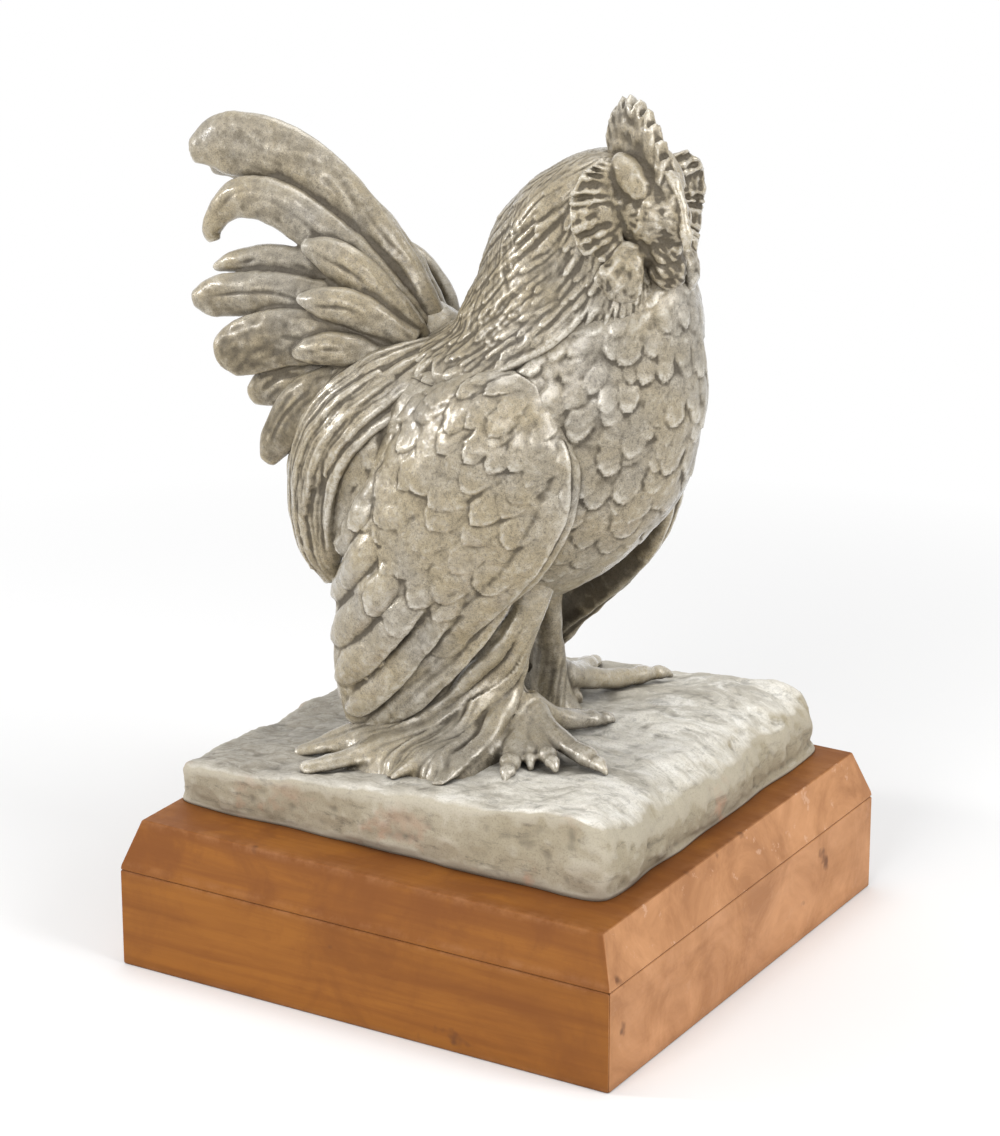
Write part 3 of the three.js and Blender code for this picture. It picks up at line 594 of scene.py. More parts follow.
# A shank's rows are x, y, z and half thickness. Toes are shares of the ground's half length and half depth.
# Plumes and the web beside them are lines of x, y and z.
LEGS = {
    "right": {
        "ankle": (0.257, -0.286),
        "shank": [
            [30, -26, 44, 16], [27, -26.5, 56, 12.5], [23, -28.5, 72, 10.5], [20.5, -31, 88, 9.8],
            [23.5, -33, 106, 9.6], [30, -34, 124, 10.5], [36, -33, 144, 12.5], [36, -30, 166, 18],
            [34, -26, 188, 22]],
        "toes": [(0.403, -0.712), (0.435, -0.56), (0.545, -0.55), (0.734, -0.472), (0.457, 0.115)],
        "web": [[36, -30, 130], [29, -31, 108], [25, -32, 90], [27, -40, 72], [34, -56, 56], [42, -70, 46]],
        "plumes": [
            [[40, -28, 172], [36.5, -36, 142], [21.9, -43, 118.7], [7.9, -48, 102.1], [-31.6, -62, 63.6],
             [-72.4, -77, 45.3], [-105.5, -88, 32]],
            [[41, -28, 160], [34, -35, 128], [26, -37, 107], [13, -43, 88], [-4, -54, 70], [-23.6, -66, 58],
             [-42.8, -86, 46], [-78.6, -119, 36]],
            [[40, -28, 150], [32, -34, 120], [25.2, -35, 99], [12, -47, 77], [-1, -68, 58], [-9.5, -92, 48],
             [-18.4, -114, 41]],
            [[38, -29, 140], [30, -32, 112], [24.2, -32, 88], [22, -46, 71], [21, -66, 58], [19.2, -92, 50],
             [18.4, -114, 43.5]]]},
    "left": {
        "ankle": (0.139, 0.149),
        "shank": [
            [15.6, 39, 38, 18], [14, 37.5, 50, 14], [13, 36, 68, 11], [12.4, 35, 86, 9.4],
            [12.6, 34, 117, 8.4], [13.5, 34, 142, 10], [16, 32, 166, 16], [16, 28, 188, 20]],
        "toes": [(-0.04, 0.92), (0.356, 0.839), (0.222, 0.267), (-0.225, 0.479)],
        "web": [[10, 34, 118], [8, 42, 92], [0, 58, 66], [-6, 74, 48], [-12, 86, 40]],
        "plumes": [
            [[12, 34, 140], [-6, 48, 100], [-54, 72, 62], [-92, 90, 42], [-129, 105.6, 27]],
            [[12, 34, 130], [-4, 52, 92], [-42, 90, 58], [-76, 118, 40], [-105.7, 141, 27.5]],
            [[11, 34, 124], [2, 48, 84], [-22, 86, 52], [-44, 116, 40], [-59.8, 138.7, 32]]]},
}

HEAD_TURN = math.radians(-22)
HEAD_PLACE = np.array([along(0.5467) + along(0.25), -8, up(0.905)])


def on_head(points):
    """Points given in millimetres forward, left and up from the skull's middle, set on the turned head."""
    c, s = math.cos(HEAD_TURN), math.sin(HEAD_TURN)
    return np.asarray(points, float) @ np.array([[c, s, 0], [-s, c, 0], [0, 0, 1]]) + HEAD_PLACE


# Materials


class Nodes:
    """A node tree with short ways to add and link nodes."""

    def __init__(self, tree):
        self.nodes = tree.nodes
        self.links = tree.links

    def add(self, kind, **settings):
        node = self.nodes.new(kind)
        for key, value in settings.items():
            setattr(node, key, value)
        return node

    def link(self, source, target):
        self.links.new(source, target)

    def fed(self, node, *values):
        """Gives a node's sockets an output, a number or a colour each, and returns what comes out of it."""
        sockets = [s for s in node.inputs if s.enabled]
        for socket, value in zip(sockets, values):
            if isinstance(value, bpy.types.NodeSocket):
                self.link(value, socket)
            elif isinstance(value, (int, float)):
                socket.default_value = value
            else:
                socket.default_value = (*value, 1)
        return [s for s in node.outputs if s.enabled][0]

    def calc(self, operation, a, b):
        return self.fed(self.add("ShaderNodeMath", operation=operation), a, b)

    def times(self, a, b):
        return self.calc("MULTIPLY", a, b)

    def mix(self, share, a, b):
        return self.fed(self.add("ShaderNodeMix", data_type="RGBA"), share, a, b)

    def blend(self, share, a, b):
        """One shader where the share is 0 and another where it is 1."""
        return self.fed(self.add("ShaderNodeMixShader"), share, a, b)

    def seen(self):
        """1 for what is looked at directly, in a reflection or through something clear."""
        rays = self.add("ShaderNodeLightPath").outputs
        shown = self.calc("MAXIMUM", rays["Is Camera Ray"], rays["Is Glossy Ray"])
        return self.calc("MAXIMUM", shown, rays["Is Transmission Ray"])


class Finish(Nodes):
    """A material and the fields that its colours are mixed by."""

    def __init__(self, name):
        self.material = bpy.data.materials.new(name)
        self.material.use_nodes = True
        super().__init__(self.material.node_tree)
        self.shader = self.nodes["Principled BSDF"]
        self.place = self.add("ShaderNodeTexCoord").outputs["Object"]

    def stretched(self, scale, turn=(0, 0, 0)):
        node = self.add("ShaderNodeMapping")
        node.inputs["Scale"].default_value = scale
        node.inputs["Rotation"].default_value = turn
        self.link(self.place, node.inputs["Vector"])
        return node.outputs["Vector"]

    def noise(self, scale, detail=4, rough=0.55, vector=None, warp=0):
        node = self.add("ShaderNodeTexNoise")
        node.inputs["Scale"].default_value = scale
        node.inputs["Detail"].default_value = detail
        node.inputs["Roughness"].default_value = rough
        node.inputs["Distortion"].default_value = warp
        self.link(vector or self.place, node.inputs["Vector"])
        return node.outputs["Fac"]

    def mark(self, name):
        return self.add("ShaderNodeAttribute", attribute_name=name).outputs["Fac"]

    def shelter(self, reach):
        """How far a point is closed in by what stands within reach, from 0 to 1. The finishes paint shade
        with it.
        """
        node = self.add("ShaderNodeAmbientOcclusion", samples=6)
        node.inputs["Distance"].default_value = reach
        return self.between(node.outputs["AO"], 0.75, 0.2)

    def between(self, value, low, high, to_low=0.0, to_high=1.0):
        node = self.add("ShaderNodeMapRange")
        for key, number in (("From Min", low), ("From Max", high), ("To Min", to_low), ("To Max", to_high)):
            node.inputs[key].default_value = number
        self.link(value, node.inputs["Value"])
        return node.outputs["Result"]

    def tinted(self, base, *rows):
        """A colour with others over it in turn. A row is a field, where in it the tint starts and where it is
        full, its share there, and its colour."""
        for field, low, high, share, colour in rows:
            base = self.mix(self.between(field, low, high, 0, share), base, colour)
        return base

    def split(self, vector):
        """The X, Y and Z of a vector."""
        node = self.add("ShaderNodeSeparateXYZ")
        self.link(vector, node.inputs["Vector"])
        return node.outputs

    def facing(self):
        """The X, Y and Z of the way that the surface faces."""
        return self.split(self.add("ShaderNodeNewGeometry").outputs["Normal"])

    def bump(self, height, strength, distance, under=None):
        node = self.add("ShaderNodeBump")
        node.inputs["Strength"].default_value = strength
        node.inputs["Distance"].default_value = distance
        self.link(height, node.inputs["Height"])
        if under is not None:
            self.link(under, node.inputs["Normal"])
        return node.outputs["Normal"]

    def finish(self, colour, roughness, normal):
        self.link(colour, self.shader.inputs["Base Color"])
        self.link(roughness, self.shader.inputs["Roughness"])
        self.link(normal, self.shader.inputs["Normal"])
        return self.material


def clay_finish():
    """Grey patina over clay: ochre in places, dark wash in the grooves, silvery where it is rubbed. Painted
    highlight on ridges and upward faces, and painted shade in hollows and where the piece is closed in.
    """
    name = "rubbed_patina"
    if name in bpy.data.materials:
        return bpy.data.materials[name]
    s = bpy.context.scene.rooster_clay
    f = Finish(name)
    crevice, ridge = f.mark("crevice"), f.mark("ridge")
    broad = f.noise(11, 3)
    cloud = f.noise(34, 4, 0.6, warp=0.6)
    mottle = f.noise(150, 5, 0.72, warp=0.3)
    grit = f.noise(420, 5, 0.75)
    speckle = f.noise(1300, 3, 0.7)
    base = f.mix(f.between(broad, 0.38, 0.56), s.patina, s.ochre)
    base = f.tinted(
        base,
        (cloud, 0.54, 0.72, 0.25, s.rubbed),
        (mottle, 0.52, 0.68, 0.3, s.rubbed),
        (mottle, 0.48, 0.32, 0.3, s.crevice),
        (speckle, 0.48, 0.70, 0.6, s.crevice),
        (grit, 0.50, 0.68, 0.55, s.crevice))
    # Upward faces turn paler: dust, and a painted sheen of the light from above.
    dust_and_sheen = f.times(f.between(f.facing()["Z"], 0.2, 0.95, 0, 0.18), f.between(grit, 0.36, 0.56))
    base = f.mix(dust_and_sheen, base, s.rubbed)
    # Ridges turn silvery: rubbed wear, and a painted highlight.
    rub_and_highlight = f.times(f.between(ridge, 0.2, 0.75), f.between(grit, 0.38, 0.58, 0.05, 0.65))
    base = f.mix(rub_and_highlight, base, s.rubbed)
    # Hollows take the dark wash, and painted shade where the piece is closed in by what stands near.
    hollow = f.calc("MAXIMUM", f.between(crevice, 0.06, 0.72, 0, 0.9), f.shelter(0.016))
    dark_wash_and_shade = f.times(hollow, f.between(grit, 0.3, 0.7, 1.0, 0.7))
    base = f.mix(dark_wash_and_shade, base, s.crevice)
    rough = f.between(f.calc("SUBTRACT", crevice, f.times(ridge, 0.6)), -0.5, 0.7, 0.14, 0.56)
    rough = f.calc("ADD", rough, f.between(cloud, 0.42, 0.62, 0.12, -0.08))
    f.link(f.between(cloud, 0.40, 0.62, 0.06, 0.26), f.shader.inputs["Metallic"])
    f.shader.inputs["Specular IOR Level"].default_value = 0.35
    wax = f.times(f.between(cloud, 0.40, 0.60, 0.35, 1.0), f.between(dark_wash_and_shade, 0, 0.5, 1, 0))
    f.link(wax, f.shader.inputs["Coat Weight"])
    f.shader.inputs["Coat Roughness"].default_value = 0.16
    f.link(f.bump(grit, 0.20, 0.0006), f.shader.inputs["Coat Normal"])
    normal = f.bump(grit, 0.40, 0.0006)
    normal = f.bump(speckle, 0.40, 0.0003, normal)
    return f.finish(base, rough, normal)


def ground_finish():
    """Pale brushed slab with grey smudges and bare pink clay at its edges. Its sides are partly darkened as
    painted shade, the left of its top carries a painted shadow, and it has painted shade where it is closed
    in.
    """
    s = bpy.context.scene.rooster_clay
    f = Finish("ground_clay")
    side, side_smudge, smudge = (0.36, 0.31, 0.215), (0.42, 0.37, 0.275), (0.50, 0.465, 0.39)
    chalk, pale = (0.86, 0.83, 0.76), (0.90, 0.875, 0.81)
    grey, shadow = (0.36, 0.33, 0.27), (0.26, 0.23, 0.18)
    crevice, ridge = f.mark("crevice"), f.mark("ridge")
    broad = f.noise(8, 6, 0.68, warp=1.0)
    brush = f.noise(60, 6, 0.7, f.stretched((1.0, 2.0, 1.0), (0, 0, 0.5)), warp=1.6)
    smear = f.noise(17, 5, 0.7, f.stretched((1.0, 1.9, 1.0), (0, 0, 0.7)), warp=1.4)
    scratch = f.noise(55, 6, 0.75, f.stretched((1.0, 1.0, 3.0)), warp=0.5)
    speckle = f.noise(900, 5, 0.72)
    flat = f.between(f.facing()["Z"], 0.6, 0.95)
    # The sides are darker and yellower than the top: partly their own colour, partly painted shade.
    base = f.mix(flat, side, s.ground)
    base = f.mix(f.times(flat, f.between(brush, 0.42, 0.58, 0, 0.9)), base, chalk)
    base = f.tinted(base, (broad, 0.46, 0.58, 0.8, f.mix(flat, side_smudge, smudge)))
    base = f.mix(f.times(flat, f.between(smear, 0.52, 0.62, 0, 0.6)), base, grey)
    base = f.mix(f.times(flat, f.between(smear, 0.46, 0.38, 0, 0.8)), base, pale)
    shaded = f.between(f.split(f.place)["X"], HOME[0] + 0.05, HOME[0] - 0.11, 0, 0.95)
    shaded = f.times(shaded, f.between(flat, 0, 1, 0.35, 1))
    base = f.mix(f.times(shaded, f.between(brush, 0.35, 0.6, 1, 0.7)), base, shadow)
    base = f.tinted(base, (speckle, 0.50, 0.74, 0.45, s.crevice))
    # Dark wash in the grooves, and painted shade where the slab is closed in by the bird and the plinth.
    dark_wash_and_shade = f.calc("MAXIMUM", f.between(crevice, 0.25, 1.0, 0, 0.6), f.shelter(0.024))
    base = f.mix(f.times(dark_wash_and_shade, f.between(speckle, 0.3, 0.7, 0.9, 0.5)), base, s.crevice)
    base = f.tinted(base, (scratch, 0.54, 0.70, 0.55, s.crevice), (ridge, 0.3, 0.9, 0.2, s.rubbed))
    bare = f.times(f.mark("edge"), f.between(f.noise(26, 4, 0.6), 0.58, 0.67))
    base = f.mix(f.times(bare, 0.6), base, s.terracotta)
    rough = f.between(brush, 0.3, 0.7, 0.66, 0.5)
    f.shader.inputs["Specular IOR Level"].default_value = 0.4
    normal = f.bump(brush, 0.45, 0.0010)
    normal = f.bump(speckle, 0.35, 0.0003, normal)
    return f.finish(base, rough, normal)


def wood_finish(name, grain):
    """Stained wood with its grain along one axis, paler on the right side as painted light and sheen with
    some wear, worn at the arrises, and with painted shade where it is closed in.
    """
    s = bpy.context.scene.rooster_plinth
    f = Finish(name)
    bare, spot, contact_shade = (0.64, 0.40, 0.27), (0.10, 0.034, 0.012), (0.07, 0.026, 0.011)
    scale = [24.0, 24.0, 24.0]
    scale[grain] = 1.5
    lines = f.noise(3.2, 6, 0.6, f.stretched(scale), warp=0.7)
    scale[grain] = 0.5
    fine = f.noise(26, 5, 0.6, f.stretched(scale))
    blotch = f.noise(9, 5, 0.62, warp=0.8)
    grime = f.noise(21, 5, 0.65, warp=0.6)
    scuff = f.noise(60, 6, 0.7)
    base = f.mix(f.between(lines, 0.25, 0.60), s.dark_stain, s.stain)
    base = f.tinted(
        base,
        (blotch, 0.46, 0.66, 0.7, s.dark_stain),
        (fine, 0.56, 0.76, 0.25, s.dark_stain),
        (grime, 0.50, 0.70, 0.5, s.dark_stain))
    facing = f.facing()
    slope = f.times(f.between(facing["Z"], 0.1, 0.3), f.between(grime, 0.42, 0.6, 0.15, 0.8))
    base = f.mix(slope, base, s.dark_stain)
    # The right side is painted paler, as painted light and sheen from the lamp on that side, with some wear.
    lit_and_worn_side = f.times(f.between(facing["X"], 0.4, 0.8), f.between(grime, 0.3, 0.6, 0.85, 0.4))
    base = f.mix(lit_and_worn_side, base, s.worn)
    base = f.mix(f.times(f.mark("edge"), f.between(scuff, 0.42, 0.62, 0.0, 0.22)), base, s.worn)
    flake = f.times(f.between(f.noise(70, 5, 0.7), 0.61, 0.66), f.between(facing["X"], 0.3, 0.6))
    base = f.mix(f.times(flake, f.between(facing["Z"], 0.1, 0.4, 0.1, 0.7)), base, bare)
    base = f.tinted(base, (f.noise(34, 3, 0.5), 0.68, 0.74, 0.75, spot))
    # Painted shade where the wood is closed in: at its joints and under the slab.
    base = f.mix(f.times(f.shelter(0.012), 0.7), base, contact_shade)
    rough = f.between(lines, 0.3, 0.7, 0.6, 0.46)
    f.shader.inputs["Specular IOR Level"].default_value = 0.25
    normal = f.bump(fine, 0.2, 0.0004)
    normal = f.bump(scuff, 0.2, 0.0006, normal)
    return f.finish(base, rough, normal)


def block_finish():
    """Bare wood of the glue blocks, hidden inside the plinth."""
    f = Finish("block_wood")
    lines = f.noise(12, 6, 0.6, f.stretched((22, 22, 1.5)), warp=0.3)
    base = f.mix(f.between(lines, 0.35, 0.65), (0.42, 0.26, 0.12), (0.62, 0.44, 0.25))
    return f.finish(base, f.between(lines, 0.3, 0.7, 0.8, 0.65), f.bump(lines, 0.3, 0.0006))


def steel_finish():
    """Old steel screws, a little rusted."""
    f = Finish("screw_steel")
    rust = f.noise(600, 6, 0.7)
    base = f.mix(f.between(rust, 0.45, 0.65), (0.33, 0.31, 0.29), (0.20, 0.09, 0.04))
    f.shader.inputs["Metallic"].default_value = 0.85
    return f.finish(base, f.between(rust, 0.3, 0.7, 0.35, 0.75), f.bump(rust, 0.3, 0.0003))


# Plinth


def corners(low, high, level, inset=0):
    """Four corners of a box at a level, anticlockwise from the front left."""
    left, right, front, back = low.x + inset, high.x - inset, low.y + inset, high.y - inset
    return [Vector((x, y, level)) for x, y in ((left, front), (right, front), (right, back), (left, back))]


def rough_board(lower, upper):
    """A board from its four lower corners and four upper ones, in metres."""
    bm = bmesh.new()
    bmesh.ops.create_cube(bm, size=2)
    for vert in bm.verts:
        x, y, z = vert.co
        ring = upper if z > 0 else lower
        vert.co = ring[(0 if x < 0 else 1) if y < 0 else (3 if x < 0 else 2)]
    return bm


def dressed_board(name, bm, sharp, arris, longest, cuts):
    """A piece from a rough board, with its sharp edges rounded and what is over the longest edge divided."""
    bmesh.ops.bevel(bm, geom=sharp, offset=arris, affect="EDGES", segments=3, profile=0.5, material=-1)
    long_edges = [e for e in bm.edges if e.calc_length() > longest]
    bmesh.ops.subdivide_edges(bm, edges=long_edges, cuts=cuts, use_grid_fill=True)
    return made_piece(name, bm)


def plain_board(name, lower, high, arris, cuts):
    """A square-edged board that stands on its lower corners."""
    bm = rough_board(lower, [Vector((p.x, p.y, high)) for p in lower])
    return dressed_board(name, bm, bm.edges[:], arris, 0.05, cuts)


def edge_mark(mesh, distance, reach):
    """Marks how near each point is to a worn edge."""
    mark = mesh.attributes.new("edge", "FLOAT", "POINT")
    mark.data.foreach_set("value", np.clip(1 - distance / reach, 0, 1).astype(np.float32))


class ROOSTER_OT_plinth(bpy.types.Operator):
    """Build the mitred rails, the bevelled board and what holds them together"""

    bl_idname = "rooster.plinth"
    bl_label = "Plinth"

    # Breadth of the top board's bevel and height of the lip below it, in metres.
    BEVEL = 0.0105
    LIP = 0.004
    BLOCK_ARRIS = 0.0008
    # Radius and height of a screw's head, in metres. Its shank goes on from the last row.
    SCREW_HEAD = [
        (0.0, 0.0), (0.0032, 0.0), (0.0047, 0.0006), (0.005, 0.0016), (0.0048, 0.0028), (0.0024, 0.003)]

    def rail(self, name, arris, wood):
        """A rail on the mitred outline of its CAD node."""
        low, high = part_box(name)
        feet = np.array([v.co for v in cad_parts[name].data.vertices])
        feet = np.unique(np.round(feet[feet[:, 2] < low.z + 1e-4], 6), axis=0)
        middle = feet.mean(0)
        order = np.argsort(np.arctan2(feet[:, 1] - middle[1], feet[:, 0] - middle[0]))
        ring = [Vector((p[0], p[1], low.z)) for p in feet[order]]
        first = min(range(4), key=lambda i: ring[i].x + ring[i].y)
        piece = plain_board(name + "_board", ring[first:] + ring[:first], high.z, arris, 24)
        points = points_of(piece.data)
        gap = np.minimum(points[:, 2] - low.z, high.z - points[:, 2])
        edge_mark(piece.data, gap + 0.0008, 0.005)
        set_piece(piece, [name], "plinth", wood)

    def top_board(self, arris, wood):
        """The thick board on top: an upright lip, then a bevel up to the flat."""
        low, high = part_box("top_board")
        lower = corners(low, high, low.z)
        bm = rough_board(lower, corners(low, high, high.z, self.BEVEL))
        walls = [e for e in bm.edges if abs(e.verts[0].co.z - e.verts[1].co.z) > 0.01]
        bmesh.ops.subdivide_edges(bm, edges=walls, cuts=1)
        for vert in bm.verts:
            if low.z + 0.001 < vert.co.z < high.z - 0.001:
                near = min(lower, key=lambda p: (p.xy - vert.co.xy).length)
                vert.co = (near.x, near.y, low.z + self.LIP)
        sharp = [e for e in bm.edges if e.calc_face_angle(0) > 0.1]
        piece = dressed_board("top_board_plank", bm, sharp, arris, 0.02, 40)
        x, y, z = points_of(piece.data).T
        inset = np.minimum.reduce([x - low.x, high.x - x, y - low.y, high.y - y])
        top_gap = np.hypot(z - high.z, np.maximum(inset - self.BEVEL, 0))
        lip_gap = np.abs(z - low.z - self.LIP) + 0.002
        edge_mark(piece.data, np.minimum(top_gap, lip_gap) + 0.0005, 0.006)
        set_piece(piece, ["top_board"], "plinth", wood)

    def screw(self, i, steel):
        """A screw, turned about its own axis."""
        low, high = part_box(f"top_screw_{i}")
        centre = (low + high) / 2
        length = high.z - low.z
        bm = bmesh.new()
        profile = [*self.SCREW_HEAD, (0.0024, length - 0.006), (0.0, length - 0.001)]
        verts = [bm.verts.new((centre.x + r, centre.y, low.z + z)) for r, z in profile]
        line = [bm.edges.new(pair) for pair in zip(verts, verts[1:])]
        bmesh.ops.spin(
            bm, geom=verts + line, cent=(centre.x, centre.y, 0), axis=(0, 0, 1), angle=2 * math.pi, steps=24,
            use_merge=True)
        bmesh.ops.remove_doubles(bm, verts=bm.verts[:], dist=1e-6)
        bmesh.ops.recalc_face_normals(bm, faces=bm.faces[:])
        set_piece(made_piece(f"board_screw_{i}", bm), [f"top_screw_{i}"], "plinth", steel)

    def execute(self, context):
        arris = context.scene.rooster_plinth.arris
        lengthwise = wood_finish("plinth_wood_lengthwise", 0)
        crosswise = wood_finish("plinth_wood_crosswise", 1)
        for name in ("front_rail", "right_rail", "back_rail", "left_rail"):
            self.rail(name, arris, lengthwise if name in ("front_rail", "back_rail") else crosswise)
        self.top_board(arris, lengthwise)
        wood, steel = block_finish(), steel_finish()
        for i in range(1, 5):
            low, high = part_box(f"corner_block_{i}")
            piece = plain_board(f"glue_block_{i}", corners(low, high, low.z), high.z, self.BLOCK_ARRIS, 4)
            set_piece(piece, [f"corner_block_{i}"], "plinth", wood)
            self.screw(i, steel)
        return {"FINISHED"}


# Ground slab


class ROOSTER_OT_ground(bpy.types.Operator):
    """Build the slab of ground, uneven above and hollow below"""

    bl_idname = "rooster.ground"
    bl_label = "Ground slab"

    # Breadth of the rim that the slab stands on, and thickness of the clay above its hollow, in millimetres.
    WALL = 27
    CRUST = 15

    def execute(self, context):
        half_x, half_y = GROUND_LENGTH / 2, GROUND_DEPTH / 2
        bm = bmesh.new()
        bmesh.ops.create_cube(bm, size=2)
        upright = [e for e in bm.edges if abs(e.verts[0].co.z - e.verts[1].co.z) > 1]
        bmesh.ops.subdivide_edges(bm, edges=upright, cuts=16)
        level = [e for e in bm.edges if abs(e.verts[0].co.z - e.verts[1].co.z) < 0.01]
        bmesh.ops.subdivide_edges(bm, edges=level, cuts=160, use_grid_fill=True)
        u, v, w = np.array([vert.co for vert in bm.verts]).T
        out = np.maximum(np.abs(u), np.abs(v))
        square = out / np.maximum(squared_out(u, v), 1e-6)
        right = (u > 0) * step(-1, -0.5, v)
        rise = (w + 1) / 2
        waver = np.minimum(1.4 * ripple(np.stack([u * half_x, v * half_y, 0 * u], 1), 75, 8) - 1.2, 0.4)
        x = GROUND_X + u * square * (half_x + waver)
        y = GROUND_Y + v * square * (half_y + waver)
        top = ground_height(x, y) + 6 * step(0.5, 1, u) * step(-0.5, -1, v) + 4.5 * step(-0.7, -1, v)
        for gap, broad, deep in (
            ((1 - np.abs(u)) * half_x, 7 + 20 * right, 4.5 + 9.5 * right),
            ((1 - np.abs(v)) * half_y, 6, 3.5),
        ):
            top = top - deep * (1 - np.sqrt(1 - np.clip(1 - gap / broad, 0, 1) ** 2))
        z = np.where(w > 0.9999, top, 0.3 + rise * (top - 0.3))
        for vert, place in zip(bm.verts, np.stack([x, y, z], 1) * MM + HOME):
            vert.co = place
        bm.normal_update()
        under = []
        for face in bm.faces:
            x, y, _ = (np.array(face.calc_center_median()) - HOME) / MM
            inside = abs(x - GROUND_X) < half_x - self.WALL and abs(y - GROUND_Y) < half_y - self.WALL
            if face.normal.z < -0.9 and inside:
                under.append(face)
        made = bmesh.ops.extrude_face_region(bm, geom=under)
        bmesh.ops.delete(bm, geom=under, context="FACES")
        for vert in made["geom"]:
            if isinstance(vert, bmesh.types.BMVert):
                x, y, _ = (np.array(vert.co) - HOME) / MM
                vert.co.z = HOME[2] + (ground_height(x, y) - self.CRUST) * MM
        bmesh.ops.recalc_face_normals(bm, faces=bm.faces[:])
        piece = made_piece("ground_clay_slab", bm)
        mesh = piece.data
        points = points_of(mesh)
        # The foot stays level on the plinth.
        free = np.clip((points[:, 2] - HOME[2] - 0.0016) / 0.004, 0, 1)[:, None]
        move_points(mesh, points + (relaxed(points, edges_of(mesh), 2) - points) * free)
        place = local(mesh)
        lumps = ripples(place, (1.6, 85, 3), (0.8, 34, 4), (0.4, 13, 5))
        strokes = 0.22 * ripple(place, 7, 6, (3.0, 1, 1)) + 0.12 * ripple(place, 4, 7)
        raise_skin(mesh, (lumps + strokes) * free[:, 0])
        wash(mesh, 1.3)
        place = local(mesh)
        near_x, near_y = half_x - np.abs(place[:, 0] - GROUND_X), half_y - np.abs(place[:, 1] - GROUND_Y)
        low = np.minimum(near_x, near_y) + 0.35 * np.maximum(place[:, 2], 0)
        edge_mark(mesh, np.minimum(0.45 * np.hypot(near_x, near_y), low), 15)
        mesh.shade_smooth()
        set_piece(piece, ["ground_slab"], "sculpture", ground_finish())
        return {"FINISHED"}


# Bird


class ROOSTER_OT_body(bpy.types.Operator):
    """Model the trunk with its breast and belly feathers"""

    bl_idname = "rooster.body"
    bl_label = "Body"

    def execute(self, context):
        s = context.scene.rooster_clay
        bm = bmesh.new()
        skin(bm, trunk_rings(0.0, 0.86, 80))
        root = TAIL_ROOT
        limb(bm, [
            [root[0] + 34, 0, root[2] - 26, 20, 18], [root[0] + 8, 0, root[2] - 14, 34, 27],
            [root[0] - 24, 0, root[2] - 20, 44, 33], [root[0] - 48, 0, root[2] - 36, 40, 32],
            [root[0] - 64, 0, root[2] - 54, 16, 14]])
        for sign in (-1, 1):
            lump(bm, (along(-0.53), sign * across(0.6), up(0.28)), (40, 28, 70))
            lump(bm, (along(0.27), sign * across(0.62), up(0.545)), (40, 17, 20))
        piece = fused("body_clay", bm, s.body_grain)
        mesh = piece.data
        points, normals = local(mesh), normals_of(mesh)
        rng = np.random.default_rng(11)
        plan = []
        for row, share in enumerate(np.arange(0.80, 0.02, -0.045)):
            half = 9.4 - 3.8 * step(0.45, 0.8, share)
            _, length, width = trunk_size(share)
            spread = 1.8 * half / ((length + width) / 2)
            for turn in np.arange(-1.9, 1.9, spread) + (row % 2) * spread / 2:
                turn = turn + rng.normal() * 0.16 * spread
                place = trunk_point(min(1, share + rng.normal() * 0.008), turn)
                flow = (-0.2 - 0.35 * abs(math.sin(turn)), 0, -1)
                size = rng.uniform(0.8, 1.25)
                fade = 0.25 + 0.75 * step(0.1, 0.36, share) - 0.5 * step(0.6, 0.8, share)
                fade = fade * rng.uniform(0.3, 1.25)
                plan.append((place, flow, 2.75 * half * size, half * size, s.scale_lift / MM * fade))
        for row, share in enumerate(np.arange(0.6, 0.05, -0.055)):
            for turn in np.arange(2.0, 4.3, 0.17) + (row % 2) * 0.08:
                place = trunk_point(share, turn + rng.normal() * 0.02)
                plan.append((place, (-0.5, 0, -1), 36, 8.5, 1.1 * rng.uniform(0.3, 1.2)))
        height = feather_heights(points, normals, plan, 21)
        height += ripples(points, (0.6, 44, 31), (0.2, 16, 32), (0.07, 6, 33))
        height -= 3 * step(-12, 4, above_hackle(points))
        raise_skin(mesh, height)
        # A little painted shade over the whole body.
        wash(mesh, 0.9, 0.10)
        set_clay(piece, ["body_right_half", "body_left_half", "tail_root"])
        return {"FINISHED"}


